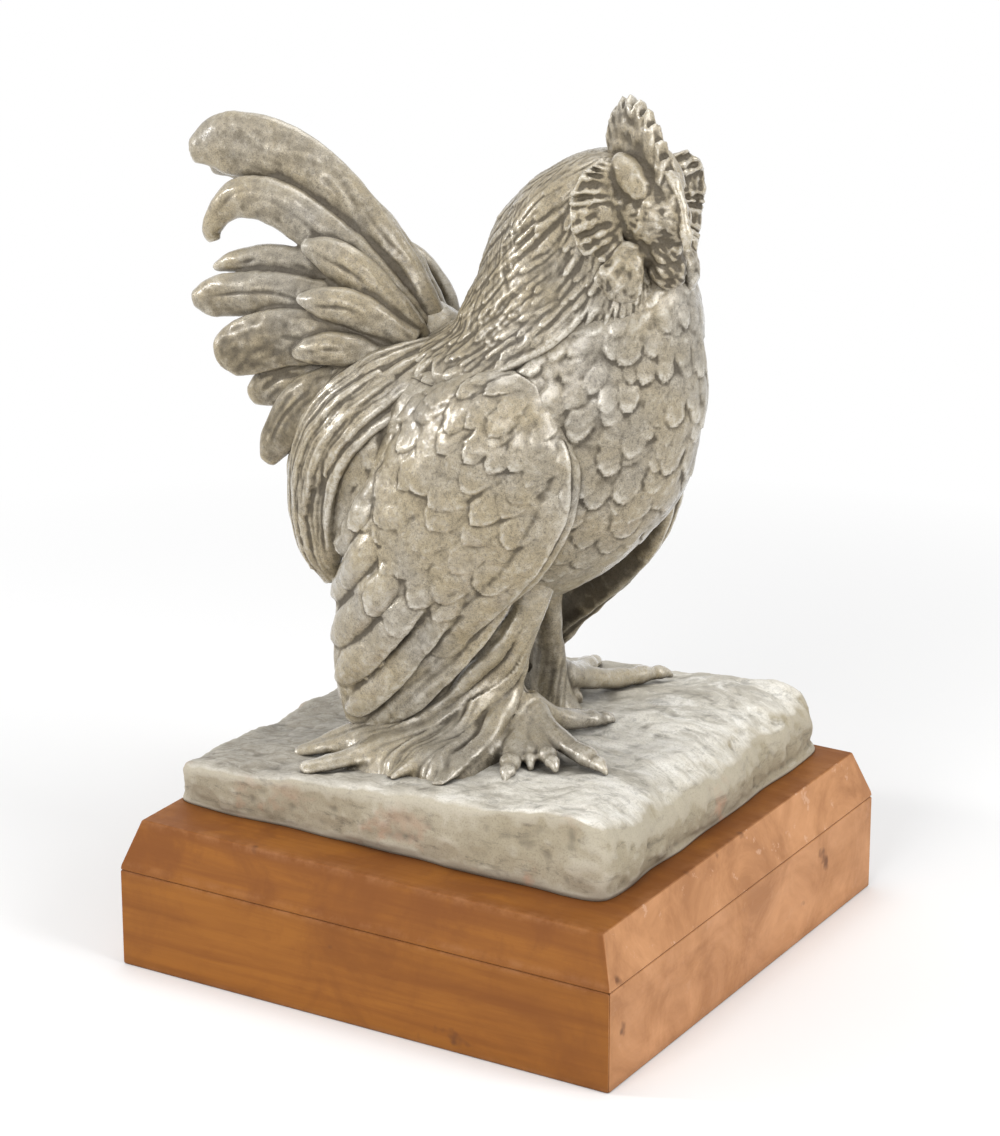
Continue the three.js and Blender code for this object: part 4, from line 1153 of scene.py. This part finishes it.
class ROOSTER_OT_neck(bpy.types.Operator):
    """Model the neck under its hackle of long narrow feathers"""

    bl_idname = "rooster.neck"
    bl_label = "Neck and hackle"

    def execute(self, context):
        s = context.scene.rooster_clay
        bm = bmesh.new()
        skin(bm, trunk_rings(0.5, 1.0, 70))
        piece = fused("neck_clay", bm, s.fine_grain, 3)
        mesh = piece.data
        points, normals = local(mesh), normals_of(mesh)
        rng = np.random.default_rng(12)
        plan = []
        for row, share in enumerate(np.arange(0.985, 0.55, -0.026)):
            _, long, width = trunk_size(share)
            spread = 6.4 / ((long + width) / 2)
            for turn in np.arange(-math.pi, math.pi, spread) + (row % 2) * spread / 2:
                turn = turn + rng.normal() * 0.3 * spread
                place = trunk_point(share, turn)
                ahead = max(0.0, math.cos(turn))
                flow = (-0.75 * (1 - ahead) - 0.1, 0, -0.8)
                length = rng.uniform(20, 40) * (1 - 0.35 * ahead)
                tip = place + unit(np.array(flow)) * length
                if above_hackle(tip[None])[0] < -8 * rng.random():
                    continue
                plan.append((place, flow, length, rng.uniform(2.2, 4.2), rng.uniform(0.3, 1.3)))
        turn = trunk_turn(points)
        rise = above_hackle(points)
        height = feather_heights(points, normals, plan, 22, 0.5) * (0.5 + 0.5 * step(20, 48, np.abs(turn)))
        height *= 1 - 0.4 * step(40, 100, rise) * (1 - step(60, 100, np.abs(turn)))
        course = np.radians(np.abs(turn)) * 60 + 0.9 * np.sin(np.radians(np.abs(turn))) * points[:, 2]
        flow = np.stack([course, 0.16 * points[:, 2], 30 * np.sign(turn)], 1)
        height += ripples(flow, (0.12, 9, 38), (0.1, 4.5, 39))
        height += ripples(points, (0.5, 36, 34), (0.06, 6, 35))
        side = step(30, 75, np.abs(turn))
        rise = rise + 4 * side * ripple(flow, 12, 37)
        height += 2 * (1 - step(0, 45, rise)) * side - 6 * (1 - step(30 * side - 38, 12 - 12 * side, rise))
        raise_skin(mesh, height)
        # Painted shade over the whole neck.
        wash(mesh, 0.8, 0.40)
        set_clay(piece, ["neck"])
        return {"FINISHED"}


class ROOSTER_OT_head(bpy.types.Operator):
    """Model the head with its comb, beak, cheek lobes and wattles"""

    bl_idname = "rooster.head"
    bl_label = "Head"

    # All in millimetres forward, left and up from the skull's middle. The comb's root and outline run from
    # nape to beak, and the lobe's root and edge from top to bottom. Sided shapes are those of the left side.
    # A limb's row ends with its half breadth and half thickness.
    COMB_ROOT = [[-20, 0, 16], [-8, 0, 22], [6, 0, 24], [18, 0, 22], [27, 0, 14], [32, 0, 4]]
    COMB_EDGE = [
        [-22, 0, 18], [-28, 0, 28], [-30, 0, 41], [-26, 0, 52], [-18, 0, 60], [-8, 0, 62], [3, 0, 60],
        [11, 0, 54], [18, 0, 44], [24, 0, 34], [29, 0, 24], [33, 0, 13], [36, 0, 3]]
    RIDGE = [
        [28, 0, 24, 3.4, 4], [36, 0, 13, 3.6, 3.2], [40.5, 0, 3, 3.6, 3.2], [43.5, 0, -8, 3.6, 3.2],
        [46, 0, -16.5, 3.2, 3], [47, 0, -21.5, 1.3, 1.5]]
    JAW = [[20, 0, -15, 9, 9], [30, 0, -18, 7, 7], [36, 0, -22, 4.5, 4.6], [39, 0, -25, 1.5, 1.8]]
    WATTLE = [
        [14, 16, -21, 6, 5], [16, 21, -29, 10, 5.5], [17, 25, -36, 13.5, 6], [16, 28, -42, 15.5, 6],
        [14, 29, -48, 13.5, 5], [11, 29, -53, 6, 3]]
    LOBE_ROOT = [[-2, 17, 24], [1, 20, 14], [3, 21, 3], [5, 20, -9], [7, 18, -19]]
    LOBE_EDGE = [[-5, 26, 29], [-8, 40, 20], [-9, 46, 6], [-9, 45, -10], [-7, 40, -26], [5, 28, -33]]
    MIDDLE_LUMPS = [
        ((-2, 0, 0), (34, 22.5, 31)), ((23, 0, -3), (20, 11.5, 24)), ((8, 0, -24), (20, 17, 17)),
        ((25, 0, -25), (13, 11, 12)), ((25, 2, -36), (13, 12, 13))]
    CHEEK = ((15, 9, -5), (20, 9.5, 18))
    BROW = ((8, 13.4, 19), (18, 9.5, 10.5))
    COMB_TEETH = 14
    LOBE_PLEATS = 9

    def pleat(self, share, seed):
        """Uneven folds along a lobe's edge, from -1 to 1."""
        turn = self.LOBE_PLEATS * share + 0.5 * np.sin(7 * share + seed)
        turn = turn + 0.22 * np.sin(19 * share + 2 * seed)
        deep = 0.6 + 0.4 * np.sin(23 * share + seed)
        return np.sin(2 * math.pi * turn) * deep * (1 - 0.6 * step(0.76, 0.92, share))

    def execute(self, context):
        s = context.scene.rooster_clay
        bm = bmesh.new()
        count = 200
        share = np.linspace(0, 1, count)
        turn = (0, 0, HEAD_TURN)
        for place, radii in self.MIDDLE_LUMPS:
            lump(bm, on_head(place), radii, turn)
        sidewise = np.array([math.sin(HEAD_TURN), -math.cos(HEAD_TURN), 0])
        for sign in (-1, 1):
            mirror = np.array([1, sign, 1])
            lump(bm, on_head(self.BROW[0] * mirror), self.BROW[1], (0, 0.66, HEAD_TURN))
            lump(bm, on_head(self.CHEEK[0] * mirror), self.CHEEK[1], turn)
            splay = on_head([0.65, 0.75 * sign, 0]) - HEAD_PLACE
            limb(bm, [[*on_head(r[:3] * mirror), r[3], r[4]] for r in self.WATTLE], splay, sides=24, count=30)
            root = eased(self.LOBE_ROOT, count)
            edge = eased(self.LOBE_EDGE, count) + [6 * (sign > 0), 9 * (sign > 0), 0]
            fold = self.pleat(share, sign)
            edge = root + (edge - root) * (1 + 0.07 * fold)[:, None]
            blade(
                bm, on_head(root * mirror), on_head(edge * mirror), lambda r, a: 4.2 - 2.0 * r,
                lambda r, a: 3.3 * r ** 1.1 * self.pleat(a, sign))
        root, edge = eased(self.COMB_ROOT, count), eased(self.COMB_EDGE, count)
        tooth = np.abs(np.sin(math.pi * (self.COMB_TEETH * share ** 0.9 + 0.2))) ** 0.9
        depth = (2.5 + 6.5 * step(0.22, 0.42, share)) * (1 - 0.5 * step(0.92, 1, share))
        edge = edge + unit(edge - root) * (depth * (tooth - 0.6))[:, None]
        blade(
            bm, on_head(root), on_head(edge), lambda r, a: 7.5 - 3.4 * r,
            lambda r, a: 0.7 * r ** 3 * math.sin(2 * math.pi * self.COMB_TEETH * a ** 0.9)
            + 0.9 * r * math.sin(9 * a))
        for rows in (self.RIDGE, self.JAW):
            limb(bm, [[*on_head(r[:3]), r[3], r[4]] for r in rows], sidewise, sides=24, count=30)
        piece = fused("head_clay", bm, s.head_grain, 2)
        mesh = piece.data
        brows = on_head([self.BROW[0], self.BROW[0] * np.array([1, -1, 1])])
        faces = on_head([[24, -13, -8], [24, 13, -8]])
        calm, face = nearest(local(mesh), brows), nearest(local(mesh), faces)
        soften(mesh, (1 - step(14, 24, np.minimum(calm, face)))[:, None], 16)
        points = local(mesh)
        tooled = ripples(points, (0.3, 10, 42), (0.09, 4.5, 43))
        tooled *= 0.15 + 0.85 * step(9, 20, calm)
        smooth = step(18, 34, np.linalg.norm(points - on_head([0, 0, 40]), axis=1))
        height = tooled * (0.3 + 0.7 * smooth) + 0.5 * ripple(points, 16, 41)
        height += 0.2 * ripple(points, 4.5, 39, (1.5, 1.5, 1)) * (1 - step(12, 22, face))
        rim = np.abs((points - HEAD_PLACE) @ sidewise)
        height += 0.35 * ripple(points, 7, 38) * step(26, 36, rim)
        chin = np.linalg.norm(points - on_head([28, 0, -34]), axis=1)
        folds = np.stack([points[:, 0] + 0.8 * points[:, 2], points[:, 1], 0.35 * points[:, 2]], 1)
        height += 0.6 * ripple(folds, 7, 40) * (1 - step(10, 22, chin))
        for pit in on_head([[13, -21, 7], [13, 21, 7]]):
            height -= 2.2 * np.exp(-((points - pit) ** 2).sum(1) / 12)
        raise_skin(mesh, height)
        # Painted shade over the head, and more under the beak, where shadow falls.
        wash(mesh, 0.55, 0.40 + 0.9 * (1 - step(8, 26, chin)))
        nodes = ["head", "comb", "upper_beak", "lower_beak"]
        nodes += [f"{side}_{part}" for side, _ in SIDES for part in ("cheek_lobe", "wattle", "eye")]
        set_clay(piece, nodes)
        return {"FINISHED"}


class ROOSTER_OT_wings(bpy.types.Operator):
    """Model the two folded wings"""

    bl_idname = "rooster.wings"
    bl_label = "Wings"

    # Root and tip of each long feather as x and height on the right wing, its half width, and how far it
    # stands off.
    LONG_FEATHERS = [
        ((46, 168), (-46, 60), 8.5, 0.0), ((34, 172), (-60, 54), 10.5, 0.8),
        ((20, 176), (-72, 63), 12.5, 1.6), ((4, 184), (-80, 84), 13.0, 2.2),
        ((-14, 196), (-86, 108), 13.0, 2.8), ((-30, 212), (-87, 136), 12.0, 3.2),
        ((-42, 230), (-84, 166), 11.0, 3.4),
    ]
    # Share of the way to the tip and girth there.
    LONG_GIRTH = [(0, 0.7), (0.2, 0.9), (0.4, 1.0), (0.62, 1.0), (0.82, 0.95), (0.94, 0.72), (1.0, 0.3)]

    def execute(self, context):
        s = context.scene.rooster_clay
        for side, sign in SIDES:
            stations = wing_stations(sign)
            drop = LEFT_WING_DROP if sign > 0 else 0
            path, breadth, thick, outward, wide = limb_frame(stations, (0, sign, 0), 101)
            ahead = np.sign(wide[50][0])
            swell = breadth / breadth.max()
            v = np.linspace(-1, 1, 41)
            lift = thick[:, None] * np.sqrt(1 - v ** 2) - WING_CURL * swell[:, None] * v ** 2
            spread = breadth[:, None] * v
            cover = path[:, None] + wide[:, None] * spread[..., None] + outward[:, None] * lift[..., None]
            rim = cover[12:80:6, 36 if ahead > 0 else 4]
            cover = cover.reshape(-1, 3)
            bm = bmesh.new()
            limb(bm, stations, (0, sign, 0), sides=64, count=70, curl=WING_CURL)
            girths = np.interp(np.linspace(0, 1, len(rim)), [0, 0.2, 0.8, 1], [0.3, 1, 1, 0.4])
            roll = [[*(p - outward[40] * 3), 13 * girth, 6 * girth] for p, girth in zip(rim, girths)]
            limb(bm, roll, (0.25, sign, 0), sides=18, count=50)
            for (x0, z0), (x1, z1), half, proud in self.LONG_FEATHERS:
                rows = []
                for t, girth in self.LONG_GIRTH:
                    sag = 5 * math.sin(math.pi * t)
                    x, z = x0 + (x1 - x0) * t + sag * 0.5, z0 + (z1 - z0) * t - sag - drop
                    pull = 1 / ((cover[:, 0] - x) ** 2 + (cover[:, 2] - z) ** 2 + 6) ** 2
                    y = (pull * cover[:, 1]).sum() / pull.sum()
                    sink = -6.5 + (5.5 + proud) * step(0.05, 0.45, t) - proud * step(0.7, 1, t)
                    rows.append([x, y + sign * sink, z, half * girth, 4.4 * (0.6 + 0.4 * girth)])
                limb(bm, rows, (-0.1, sign, 0.25), sides=20, count=34, curl=2.0)
            piece = fused(f"{side}_wing_clay", bm, s.fine_grain, 4)
            mesh = piece.data
            points, normals = local(mesh), normals_of(mesh)
            rng = np.random.default_rng(14)
            plan = []
            for row, u in enumerate(np.linspace(0.0, 0.5, 12)):
                k = int(u * 100)
                half = 6.4 + 6.6 * step(0.0, 0.34, u)
                count = max(2, int(2 * breadth[k] / (1.75 * half)))
                for aside in (np.arange(count + 1) + (row % 2) * 0.5) / count * 2 - 1:
                    aside = np.clip(aside + rng.normal() * 0.05, -0.97, 0.97)
                    rise = thick[k] * math.sqrt(1 - aside ** 2) - WING_CURL * aside ** 2 * swell[k]
                    place = path[k] + wide[k] * breadth[k] * aside + outward[k] * rise
                    size = rng.uniform(0.8, 1.3)
                    under_rim = step(0.62, 0.85, aside * ahead) * step(0.1, 0.24, u)
                    tall = s.scale_lift / MM * rng.uniform(0.5, 1.3) * (1 - 0.9 * under_rim)
                    plan.append((place, (-0.62, 0, -0.78), 2.7 * half * size, half * size, tall))
            height = feather_heights(points, normals, plan, 23) * step(-0.1, 0.4, normals[:, 1] * sign)
            height += ripples(points, (0.6, 40, 44), (0.25, 15, 45), (0.08, 6, 46))
            raise_skin(mesh, height)
            top = points[:, 2].max()
            # Painted shade near the top of the wing, and much more on its inner face, which is in shadow.
            painted_shade = 0.2 * step(top - 60, top - 15, points[:, 2]) + 0.9 * step(0.1, -0.5, normals[:, 1] * sign)
            wash(mesh, 1, painted_shade + 0.03)
            set_clay(piece, [f"{side}_wing"])
        return {"FINISHED"}


class ROOSTER_OT_saddle(bpy.types.Operator):
    """Model the long saddle feathers that fall behind the wings"""

    bl_idname = "rooster.saddle"
    bl_label = "Saddle"

    # Girth of a strand at equal steps from its root to its tip.
    STRAND_GIRTH = (0.5, 0.8, 1, 1.05, 1.05, 1, 0.85, 0.55, 0.15)

    def execute(self, context):
        s = context.scene.rooster_clay
        for side, sign in SIDES:
            stations = saddle_stations(sign)
            out = (-0.55, 0.83 * sign, 0.1)
            bm = bmesh.new()
            limb(bm, [[*r[:3], r[3] * 0.95, r[4] * 0.86] for r in stations], out, sides=36, count=50, curl=8)
            path, breadth, thick, outward, wide = limb_frame(stations, out, 101)
            rng = np.random.default_rng(15)
            paths = []
            for i, v in enumerate(np.linspace(-0.95, 0.95, 12)):
                first, last = 3 + 22 * rng.random() * (i % 2), 60 + 38 * rng.random() - 10 * abs(v)
                rows = []
                for t, girth in zip(np.linspace(0, 1, len(self.STRAND_GIRTH)), self.STRAND_GIRTH):
                    k = int(first + (last - first) * t)
                    w = v * (1 - 0.12 * t) + 0.05 * math.sin(3 * t + i)
                    fall = 8 * w ** 2 * breadth[k] / breadth.max()
                    lift = thick[k] * math.sqrt(max(0.05, 1 - w ** 2)) - fall
                    place = path[k] + wide[k] * breadth[k] * w + outward[k] * (lift - 2.6 + 1.2 * (i % 2))
                    rows.append([*place, 4.6 * girth, 3.6 * (0.5 + 0.5 * girth)])
                paths.append(course_of(rows, out, 40))
                limb(bm, rows, out, sides=18, count=40)
            piece = fused(f"{side}_saddle_clay", bm, s.fine_grain, 3)
            mesh = piece.data
            points = local(mesh)
            which, share, gap = along_paths(points, paths)
            wander = gap + ripple(points, 20, 46)
            height = 0.18 * np.cos(wander * 2 * math.pi / 3.4 + which) * step(0.02, 0.2, share)
            height += ripples(points, (0.45, 26, 47), (0.1, 8, 48))
            raise_skin(mesh, height)
            # Painted shade over the whole saddle.
            wash(mesh, 1, 0.27)
            set_clay(piece, [f"{side}_saddle"])
        return {"FINISHED"}


class ROOSTER_OT_tail(bpy.types.Operator):
    """Model the sickles and quills of the tail, right and left"""

    bl_idname = "rooster.tail"
    bl_label = "Tail"

    def execute(self, context):
        s = context.scene.rooster_clay
        for side, sign in SIDES:
            drop = LEFT_TAIL_DROP if sign > 0 else 0
            bm = bmesh.new()
            paths = []
            for name, rows in TAIL_FEATHERS.items():
                if sign > 0 and name == "hooked_sickle":
                    rows = [*rows[:5], [-112, 24, 72, 5]]
                stations = []
                for i, (x, y, z, breadth) in enumerate(rows):
                    tip = 0.6 if i + 1 == len(rows) else 1
                    place = TAIL_ROOT + np.array([x, sign * y, z - drop])
                    stations.append([*place, breadth, FEATHER_HALF_THICKNESS * tip])
                out = (0.05, sign, 0.12)
                limb(bm, stations, out, sides=26, count=46, square=0.9, curl=1.5)
                paths.append(course_of(stations, out, 60))
            piece = fused(f"{side}_tail_clay", bm, s.fine_grain * 1.08, 7)
            mesh = piece.data
            points, normals = local(mesh), normals_of(mesh)
            which, share, gap = along_paths(points, paths)
            outside = step(0.2, 0.7, np.abs(normals[:, 1]))
            wander = gap + 4 * ripple(points, 80, 50) + 1.7 * which
            strands = np.stack([wander, 40 * share, 20.0 * which], 1)
            streaks = ripple(strands, 7, 49) * (1 - step(0.5, 0.95, share))
            crease = -np.exp(-((gap - 1.5 - 3 * ripple(points, 90, 54)) / 1.6) ** 2)
            midway = step(0.25, 0.45, share) * (1 - step(0.6, 0.85, share))
            crease *= midway * step(-0.3, 0.8, ripple(points, 60, 56))
            height = (0.2 * streaks + 0.8 * crease) * outside
            height += ripples(points, (0.7, 44, 51), (0.22, 16, 52), (0.06, 6, 53))
            raise_skin(mesh, height)
            # Painted shade over the tail, and more on its lower quills, which hang in shadow.
            wash(mesh, 1.3, 0.32 + 0.36 * step(50, -30, points[:, 2] - TAIL_ROOT[2]))
            nodes = [f"{side}_{name}" for name in TAIL_FEATHERS if name != "low_covert"]
            set_clay(piece, nodes)
        return {"FINISHED"}


class ROOSTER_OT_legs(bpy.types.Operator):
    """Model the legs, the toes and the plumes on the feet"""

    bl_idname = "rooster.legs"
    bl_label = "Legs"

    # Share of the way from the ankle to the toe's tip, height above the ground and girth.
    TOE = [
        (0, 28, 1.4), (0.12, 21, 1.25), (0.26, 15, 1.1), (0.4, 11, 1.0), (0.54, 8, 0.95), (0.66, 6.5, 0.86),
        (0.75, 6, 0.94), (0.83, 4.5, 0.66), (0.885, 4.5, 0.72), (0.94, 3, 0.5), (0.98, 0.5, 0.3),
        (1.0, -0.5, 0.14)]

    def execute(self, context):
        s = context.scene.rooster_clay
        for side, leg in LEGS.items():
            ankle = leg["ankle"]
            bm = bmesh.new()
            paths = []
            limb(bm, [[x, y, z, 1.1 * r, r] for x, y, z, r in leg["shank"]], count=50)
            lump(bm, ground_spot(*ankle, 2), (19, 18, 14))
            for tip in leg["toes"]:
                rows = []
                reach = np.linalg.norm(ground_spot(*tip, 0) - ground_spot(*ankle, 0))
                slim = np.clip(reach / 64, 0.72, 1)
                for t, lift, girth in self.TOE:
                    spot = [a + (b - a) * t for a, b in zip(ankle, tip)]
                    place = ground_spot(*spot, lift * (1.7 - 0.7 * slim))
                    rows.append([*place, 7.6 * girth * slim, 7 * girth * slim])
                limb(bm, rows, (0, 0, 1), sides=20, count=60)
            lean = np.array([-0.3, -0.6 if side == "right" else 0.6, 0.75])
            sheet = []
            for line in (*leg["plumes"], leg["web"]):
                x, y = 0.35 * np.array(line[-1][:2]) + 0.65 * np.array(line[-2][:2])
                sheet.append([*line[:-1], [x, y, ground_height(x, y) - 5]])
            drape(bm, sheet, 5)
            for line in leg["plumes"]:
                last = len(line) - 1
                rows = []
                for i, place in enumerate(line):
                    breadth = np.interp(i / last, [0, 0.35, 0.6, 0.85, 1], [7, 9.5, 10.5, 10, 5])
                    depth = np.interp(i / last, [0, 0.35, 0.6, 0.88, 1], [9, 7.5, 6.5, 4.5, 2.5])
                    rows.append([*place, breadth, depth])
                limb(bm, rows, lean, sides=24, count=44)
                paths.append(course_of(rows, lean, 50))
            piece = fused(f"{side}_leg_clay", bm, s.fine_grain, 6)
            mesh = piece.data
            claw = nearest(local(mesh), [ground_spot(*tip, 0) for tip in leg["toes"]])
            soften(mesh, 0.15 + 0.85 * step(16, 30, claw)[:, None], 7)
            points = local(mesh)
            which, share, gap = along_paths(points, paths)
            beside = (1 - step(14, 20, np.abs(gap))) * step(0.1, 0.3, share)
            wander = gap + 3 * ripple(points, 50, 55) + which
            strands = np.stack([wander, 22 * share, 20.0 * which], 1)
            height = ripples(strands, (0.8, 11, 58), (0.35, 5, 59)) * beside
            height += ripples(points, (0.45, 24, 56), (0.12, 9, 57))
            raise_skin(mesh, height)
            # Painted shadow on the left shank, painted shade beside the plumes, and the rest of each leg
            # painted paler.
            shadowed = 0.6 * step(50, 85, points[:, 2]) if side == "left" else 0
            wash(mesh, 1.6, 0.22 * beside - 0.1 + shadowed)
            nodes = [f"{side}_{part}" for part in ("shank", "foot", "leg_plumes")]
            set_clay(piece, nodes)
        return {"FINISHED"}


# Stage


def aimed(item, place, spot):
    """Sets a light or the camera at a place, turned to a spot."""
    item.location = place
    item.rotation_euler = (Vector(spot) - Vector(place)).to_track_quat("-Z", "Y").to_euler()
    bpy.context.scene.collection.objects.link(item)


class ROOSTER_OT_stage(bpy.types.Operator):
    """Set the floor, the lights and the camera"""

    bl_idname = "rooster.stage"
    bl_label = "Stage"

    # Each light's place and size in metres and the setting that gives its power. All turn to one spot.
    LIGHTS = [
        ("right_light", (2.4, 0.0, 1.6), 1.5, "key"),
        ("overhead_light", (-0.3, 0.2, 2.4), 1.4, "overhead"),
        ("left_light", (-1.75, -0.95, 0.88), 0.2, "left"),
        ("front_light", (0.2, -2.6, 1.2), 1.4, "front"),
    ]
    LIT_SPOT = (0.03, 0, 0.3)
    # The camera's place and the spot that it looks at, in metres from the middle of the plinth's upper face.
    CAMERA_PLACE = (1.15935, -1.94066, 0.92713)
    CAMERA_SPOT = (-0.00287, -0.00172, 0.15025)
    FOCAL_LENGTH = 118.18

    def floor(self, colour):
        """White paper that glows away from the plinth, so that no horizon shows."""
        bm = bmesh.new()
        bmesh.ops.create_grid(bm, x_segments=2, y_segments=2, size=6)
        floor = made_piece("floor", bm)
        f = Finish("floor_paper")
        f.shader.inputs["Base Color"].default_value = (*colour, 1)
        f.shader.inputs["Roughness"].default_value = 0.9
        f.shader.inputs["Specular IOR Level"].default_value = 0
        reach = f.add("ShaderNodeVectorMath", operation="LENGTH")
        f.link(f.place, reach.inputs[0])
        far = f.between(reach.outputs["Value"], 0.5, 1.0)
        glow = f.add("ShaderNodeEmission").outputs["Emission"]
        blend = f.blend(f.times(far, f.seen()), f.shader.outputs["BSDF"], glow)
        f.link(blend, f.nodes["Material Output"].inputs["Surface"])
        floor.data.materials.append(f.material)

    def sky(self, strength):
        """Soft light all round, seen as white."""
        world = bpy.data.worlds.new("studio")
        world.use_nodes = True
        bpy.context.scene.world = world
        tree = Nodes(world.node_tree)
        soft, white = tree.nodes["Background"], tree.add("ShaderNodeBackground")
        for shade, power in ((soft, strength), (white, 1)):
            shade.inputs["Color"].default_value = (1, 1, 1, 1)
            shade.inputs["Strength"].default_value = power
        blend = tree.blend(tree.seen(), soft.outputs["Background"], white.outputs["Background"])
        tree.link(blend, tree.nodes["World Output"].inputs["Surface"])

    def execute(self, context):
        s = context.scene.rooster_stage
        context.scene.view_settings.view_transform = "Standard"
        self.floor(s.floor)
        for name, place, size, power in self.LIGHTS:
            lamp = bpy.data.lights.new(name, "AREA")
            lamp.size = size
            lamp.energy = getattr(s, power)
            aimed(bpy.data.objects.new(name, lamp), place, self.LIT_SPOT)
        self.sky(s.sky)
        lens = bpy.data.cameras.new("camera")
        lens.sensor_fit = "AUTO"
        lens.sensor_width = 36
        lens.lens = self.FOCAL_LENGTH
        camera = bpy.data.objects.new("camera", lens)
        aimed(camera, Vector(self.CAMERA_PLACE) + Vector(HOME), Vector(self.CAMERA_SPOT) + Vector(HOME))
        context.scene.camera = camera
        return {"FINISHED"}


class ROOSTER_PT_panel(bpy.types.Panel):
    """Pieces of the rooster and what can be set"""

    bl_idname = "ROOSTER_PT_panel"
    bl_label = "Rooster"
    bl_space_type = "VIEW_3D"
    bl_region_type = "UI"
    bl_category = "Rooster"

    def draw(self, context):
        for operator in OPERATORS:
            self.layout.operator(operator.bl_idname)
        for key in SETTINGS:
            group = getattr(context.scene, key)
            box = self.layout.box()
            for name in group.bl_rna.properties.keys():
                if name not in ("rna_type", "name"):
                    box.prop(group, name)


SETTINGS = {"rooster_clay": ClaySettings, "rooster_plinth": PlinthSettings, "rooster_stage": StageSettings}
OPERATORS = (
    ROOSTER_OT_plinth, ROOSTER_OT_ground, ROOSTER_OT_body, ROOSTER_OT_neck, ROOSTER_OT_head, ROOSTER_OT_wings,
    ROOSTER_OT_saddle, ROOSTER_OT_tail, ROOSTER_OT_legs, ROOSTER_OT_stage,
)
CLASSES = (*SETTINGS.values(), *OPERATORS, ROOSTER_PT_panel)


def register():
    for item in CLASSES:
        bpy.utils.register_class(item)
    for key, group in SETTINGS.items():
        setattr(bpy.types.Scene, key, PointerProperty(type=group))


def unregister():
    for key in SETTINGS:
        delattr(bpy.types.Scene, key)
    for item in reversed(CLASSES):
        bpy.utils.unregister_class(item)


def main():
    for name in ("Cube", "Light", "Camera"):
        if name in bpy.data.objects:
            bpy.data.objects.remove(bpy.data.objects[name])
    register()
    for operator in OPERATORS:
        _, name = operator.bl_idname.split(".")
        getattr(bpy.ops.rooster, name)()
    bpy.context.view_layer.update()


if __name__ == "__main__":
    main()
